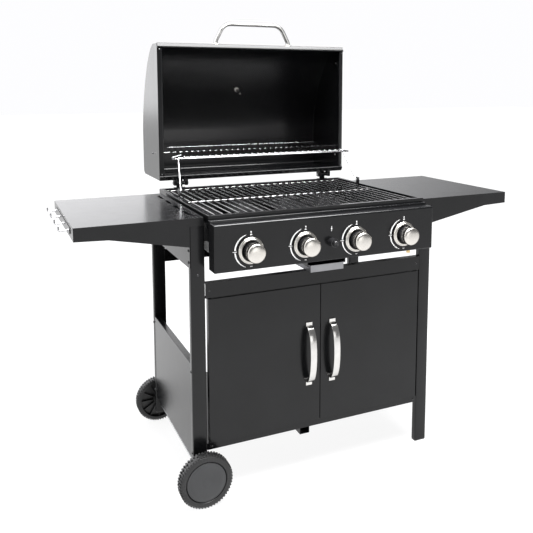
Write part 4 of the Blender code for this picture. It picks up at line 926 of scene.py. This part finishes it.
def tyre_lugs(radius, half):
    """Staggered blocks across the tread, and short bars on both walls."""
    bm = bmesh.new()
    edge = half - 0.0032
    for k in range(TREAD_LUGS):
        spin = Matrix.Rotation(2 * math.pi * k / TREAD_LUGS, 4, "Z")
        side = 1 if k % 2 else -1
        for start, end in ((side * 0.001, side * edge), (-side * 0.006, -side * edge)):
            place = Matrix.Translation((radius - 0.0024, 0.0, (start + end) / 2))
            block(bm, spin @ place, (0.0046, 0.0044, abs(end - start)))
        for face in (1, -1):
            place = Matrix.Translation((radius - 0.0108, 0.0, face * (half - 0.0009)))
            block(bm, spin @ place, (0.0088, 0.0022, 0.0018))
    return bm


def wheel_spokes(radius):
    bm = bmesh.new()
    for k in range(SPOKES):
        spin = Matrix.Rotation(2 * math.pi * k / SPOKES, 4, "Z")
        place = Matrix.Translation(((radius - RIM_INSET + 0.016) / 2, 0.0, -0.0065))
        block(bm, spin @ place, (radius - RIM_INSET - 0.014, 0.0026, 0.0085))
    return bm


def cap_plate(cap, half):
    top, under = half + 0.0012, half - 0.0052
    return lathe([(0.0, top), (0.010, top), (0.0125, top - 0.0006), (0.014, top - 0.0006),
                  (0.016, top - 0.0001), (cap * 0.72, top - 0.0004), (cap * 0.86, top - 0.0010),
                  (cap * 0.89, top - 0.0020), (cap * 0.94, top - 0.0022), (cap - 0.0012, top - 0.0026),
                  (cap, top - 0.0038), (cap, under), (0.0, under)], 96)


# ---------------------------------------------------------------- hooks and screws
HOOK_PITCH = 0.098
HOOK_WIRE = 0.0025
HOOK_STRIP = 0.0018
HOOK_STRIP_HALF = 0.008
SCREW, SMALL_SCREW, LID_SCREW, HEM_SCREW = 0.0042, 0.0036, 0.0032, 0.0028
SCREW_INSET = 0.010                       # from the outer face of a post's width
SHELF_SCREWS_Z, SIDE_SCREWS_Z, RAIL_SCREWS_Z = (0.6640, 0.6960), (0.1300, 0.3620), (0.5842, 0.1435)
RAIL_SCREW_INSET, HANGER_SCREW_INSET, HANGER_SCREW_Z = 0.052, 0.020, 0.6300
LID_SCREW_INSET, HEM_SCREW_INSET = 0.055, 0.009


def make_hooks():
    """A strip with four bent hooks."""
    a, b = span("hook_rail")
    z = a.z + HOOK_STRIP_HALF
    strip = bmesh.new()
    slab(strip, (b.x - HOOK_STRIP, a.y, z - HOOK_STRIP_HALF), (b.x, b.y, z + HOOK_STRIP_HALF))
    soften(put("hook_strip", strip, "cart", "black_steel", POWDER, ("hook_rail",)), 0.0006, 2)
    runs = []
    for i in range(4):
        y = (a.y + b.y) / 2 + (i - 1.5) * HOOK_PITCH
        tip = a.x + HOOK_WIRE
        hook = [(b.x - HOOK_STRIP / 2, y, z), (tip, y, z - 0.002), (tip, y, z + 0.0095)]
        runs.append((rounded(hook, 0.006, 8), HOOK_WIRE))
    wires("hook_wires", runs, "cart", "black_steel", HOOK_STEEL)


def screw(bm, place, normal, radius=SCREW):
    """A pan head with a crossed recess, added to a group of screws."""
    profile = [(0.0, 0.42), (0.24, 0.42), (0.30, 0.58), (0.62, 0.52), (0.88, 0.32), (1.0, 0.06), (1.0, -0.1)]
    part = lathe([(r * radius, h * radius) for r, h in profile], 24)
    bmesh.ops.holes_fill(part, edges=part.edges)
    for k in range(2):
        spin = Matrix.Rotation(math.pi / 2 * k + 0.5, 4, "Z")
        size = (radius, radius * 0.2, radius * 0.13)
        block(part, Matrix.Translation((0.0, 0.0, 0.50 * radius)) @ spin, size)
    turn = Vector(normal).to_track_quat("Z", "Y").to_matrix().to_4x4()
    part.transform(Matrix.Translation(at(*place)) @ turn)
    mesh = bpy.data.meshes.new("screw")
    part.to_mesh(mesh)
    part.free()
    bm.from_mesh(mesh)
    bpy.data.meshes.remove(mesh)


def make_cart_screws():
    """Shelves and side panels are screwed to the posts from outside, rails from front and back."""
    half_w, half_d = span("post_front_right")[1].x, -span("post_front_left")[0].y
    bm = bmesh.new()
    for s in (-1, 1):
        for y in (-half_d + SCREW_INSET, half_d - SCREW_INSET):
            for z in SHELF_SCREWS_Z:
                screw(bm, (s * (half_w + 0.0018), y, z), (s, 0, 0))
            for z in SIDE_SCREWS_Z:
                screw(bm, (s * half_w, y, z), (s, 0, 0))
        for z in RAIL_SCREWS_Z:
            for face in (-1, 1):
                screw(bm, (s * (half_w - RAIL_SCREW_INSET), face * half_d, z), (0, face, 0), SMALL_SCREW)
        screw(bm, (s * (half_w - HANGER_SCREW_INSET), -half_d, HANGER_SCREW_Z), (0, -1, 0), SMALL_SCREW)
    put("cart_screws", bm, "cart", "black_steel", SCREW_BLACK, sharp=30.0)


def make_lid_screws():
    """Three inside each side panel, and two in each side hem."""
    half, rim, back, bottom, top = lid_size()
    inset = LID_SCREW_INSET
    bm = bmesh.new()
    for s in (-1, 1):
        for y, z in ((rim + inset, top - inset), (rim + inset, bottom + inset),
                     (back - inset, bottom + inset + 0.005)):
            screw(bm, (s * (half - SHEET), y, z), (-s, 0, 0), LID_SCREW)
        for z in (top - HEM - 0.006, bottom + HEM + 0.006):
            screw(bm, (s * (half - HEM_SCREW_INSET), rim + 0.0035, z), (0, -1, 0), HEM_SCREW)
    put("lid_screws", bm, "lid", "bare_steel", ZINC, sharp=30.0)


# ---------------------------------------------------------------- stage
def make_stage():
    """A pale floor, a bright studio round the back and sides, and soft boxes above and in front."""
    bm = bmesh.new()
    bmesh.ops.create_grid(bm, x_segments=2, y_segments=2, size=30.0)
    mesh = bpy.data.meshes.new("floor")
    bm.to_mesh(mesh)
    bm.free()
    floor = bpy.data.objects.new("floor", mesh)
    look = Nodes("pale_floor", Roughness=0.9, Specular_IOR_Level=0.1, Emission_Color=(1.0, 1.0, 1.0, 1.0),
                 Emission_Strength=0.90)
    look.tint(look.noise(look.place(), 3.0, 3.0), (0.150, 0.150, 0.152), (0.165, 0.165, 0.168))
    mesh.materials.append(look.material)
    bpy.context.scene.collection.objects.link(floor)

    world = bpy.data.worlds.new("studio")
    bpy.context.scene.world = world
    world.use_nodes = True
    tree = world.node_tree
    back = tree.nodes["Background"]
    place = tree.nodes.new("ShaderNodeTexCoord")
    toward = tree.nodes.new("ShaderNodeVectorMath")
    toward.operation = "DOT_PRODUCT"
    toward.inputs[1].default_value = Vector((-0.62, 0.78, 0.05)).normalized()
    tree.links.new(place.outputs["Generated"], toward.inputs[0])
    level = tree.nodes.new("ShaderNodeMapRange")
    level.interpolation_type = "SMOOTHSTEP"
    for socket, value in zip(("From Min", "From Max", "To Min", "To Max"), (-0.05, 0.96, 0.20, 2.6)):
        level.inputs[socket].default_value = value
    tree.links.new(toward.outputs["Value"], level.inputs["Value"])
    path = tree.nodes.new("ShaderNodeLightPath")
    seen = tree.nodes.new("ShaderNodeMix")
    seen.inputs[3].default_value = 1.0
    tree.links.new(path.outputs["Is Camera Ray"], seen.inputs[0])
    tree.links.new(level.outputs["Result"], seen.inputs[2])
    tree.links.new(seen.outputs[0], back.inputs["Strength"])
    back.inputs["Color"].default_value = (0.985, 0.985, 1.0, 1.0)

    for name, place, aim, size, power in (
            ("overhead_box", (0.3, -0.55, 3.3), (0.1, 0.0, 0.7), (2.7, 1.9), 430.0),
            ("front_box", (0.75, -4.6, 1.05), (0.0, 0.1, 1.0), (2.1, 1.3), 15.0)):
        light = bpy.data.lights.new(name, "AREA")
        light.shape = "RECTANGLE"
        light.size, light.size_y = size
        light.energy = power
        lamp = bpy.data.objects.new(name, light)
        lamp.location = place
        lamp.rotation_euler = (Vector(aim) - Vector(place)).to_track_quat("-Z", "Y").to_euler()
        bpy.context.scene.collection.objects.link(lamp)


def make_camera():
    camera = bpy.data.cameras.new("camera")
    camera.sensor_width = 36.0
    camera.lens = 43.892
    camera.shift_x = -0.0088
    camera.shift_y = -0.19
    seat = bpy.data.objects.new("camera", camera)
    seat.location = (-0.8492, -1.9101, 1.1173)
    seat.rotation_euler = (math.radians(90.0 - 6.615), math.radians(0.146), math.radians(-23.819))
    bpy.context.scene.collection.objects.link(seat)
    bpy.context.scene.camera = seat
    bpy.context.scene.view_settings.view_transform = "Standard"


make_folded()
make_posts()
make_panel()
make_lid()
make_lid_handle()
make_thermometer()
make_warming_rack()
make_rack_leg()
make_grates()
make_burners()
make_knobs()
make_marks()
make_igniter()
make_door_handles()
make_wheels()
make_hooks()
make_cart_screws()
make_lid_screws()
make_stage()
make_camera()
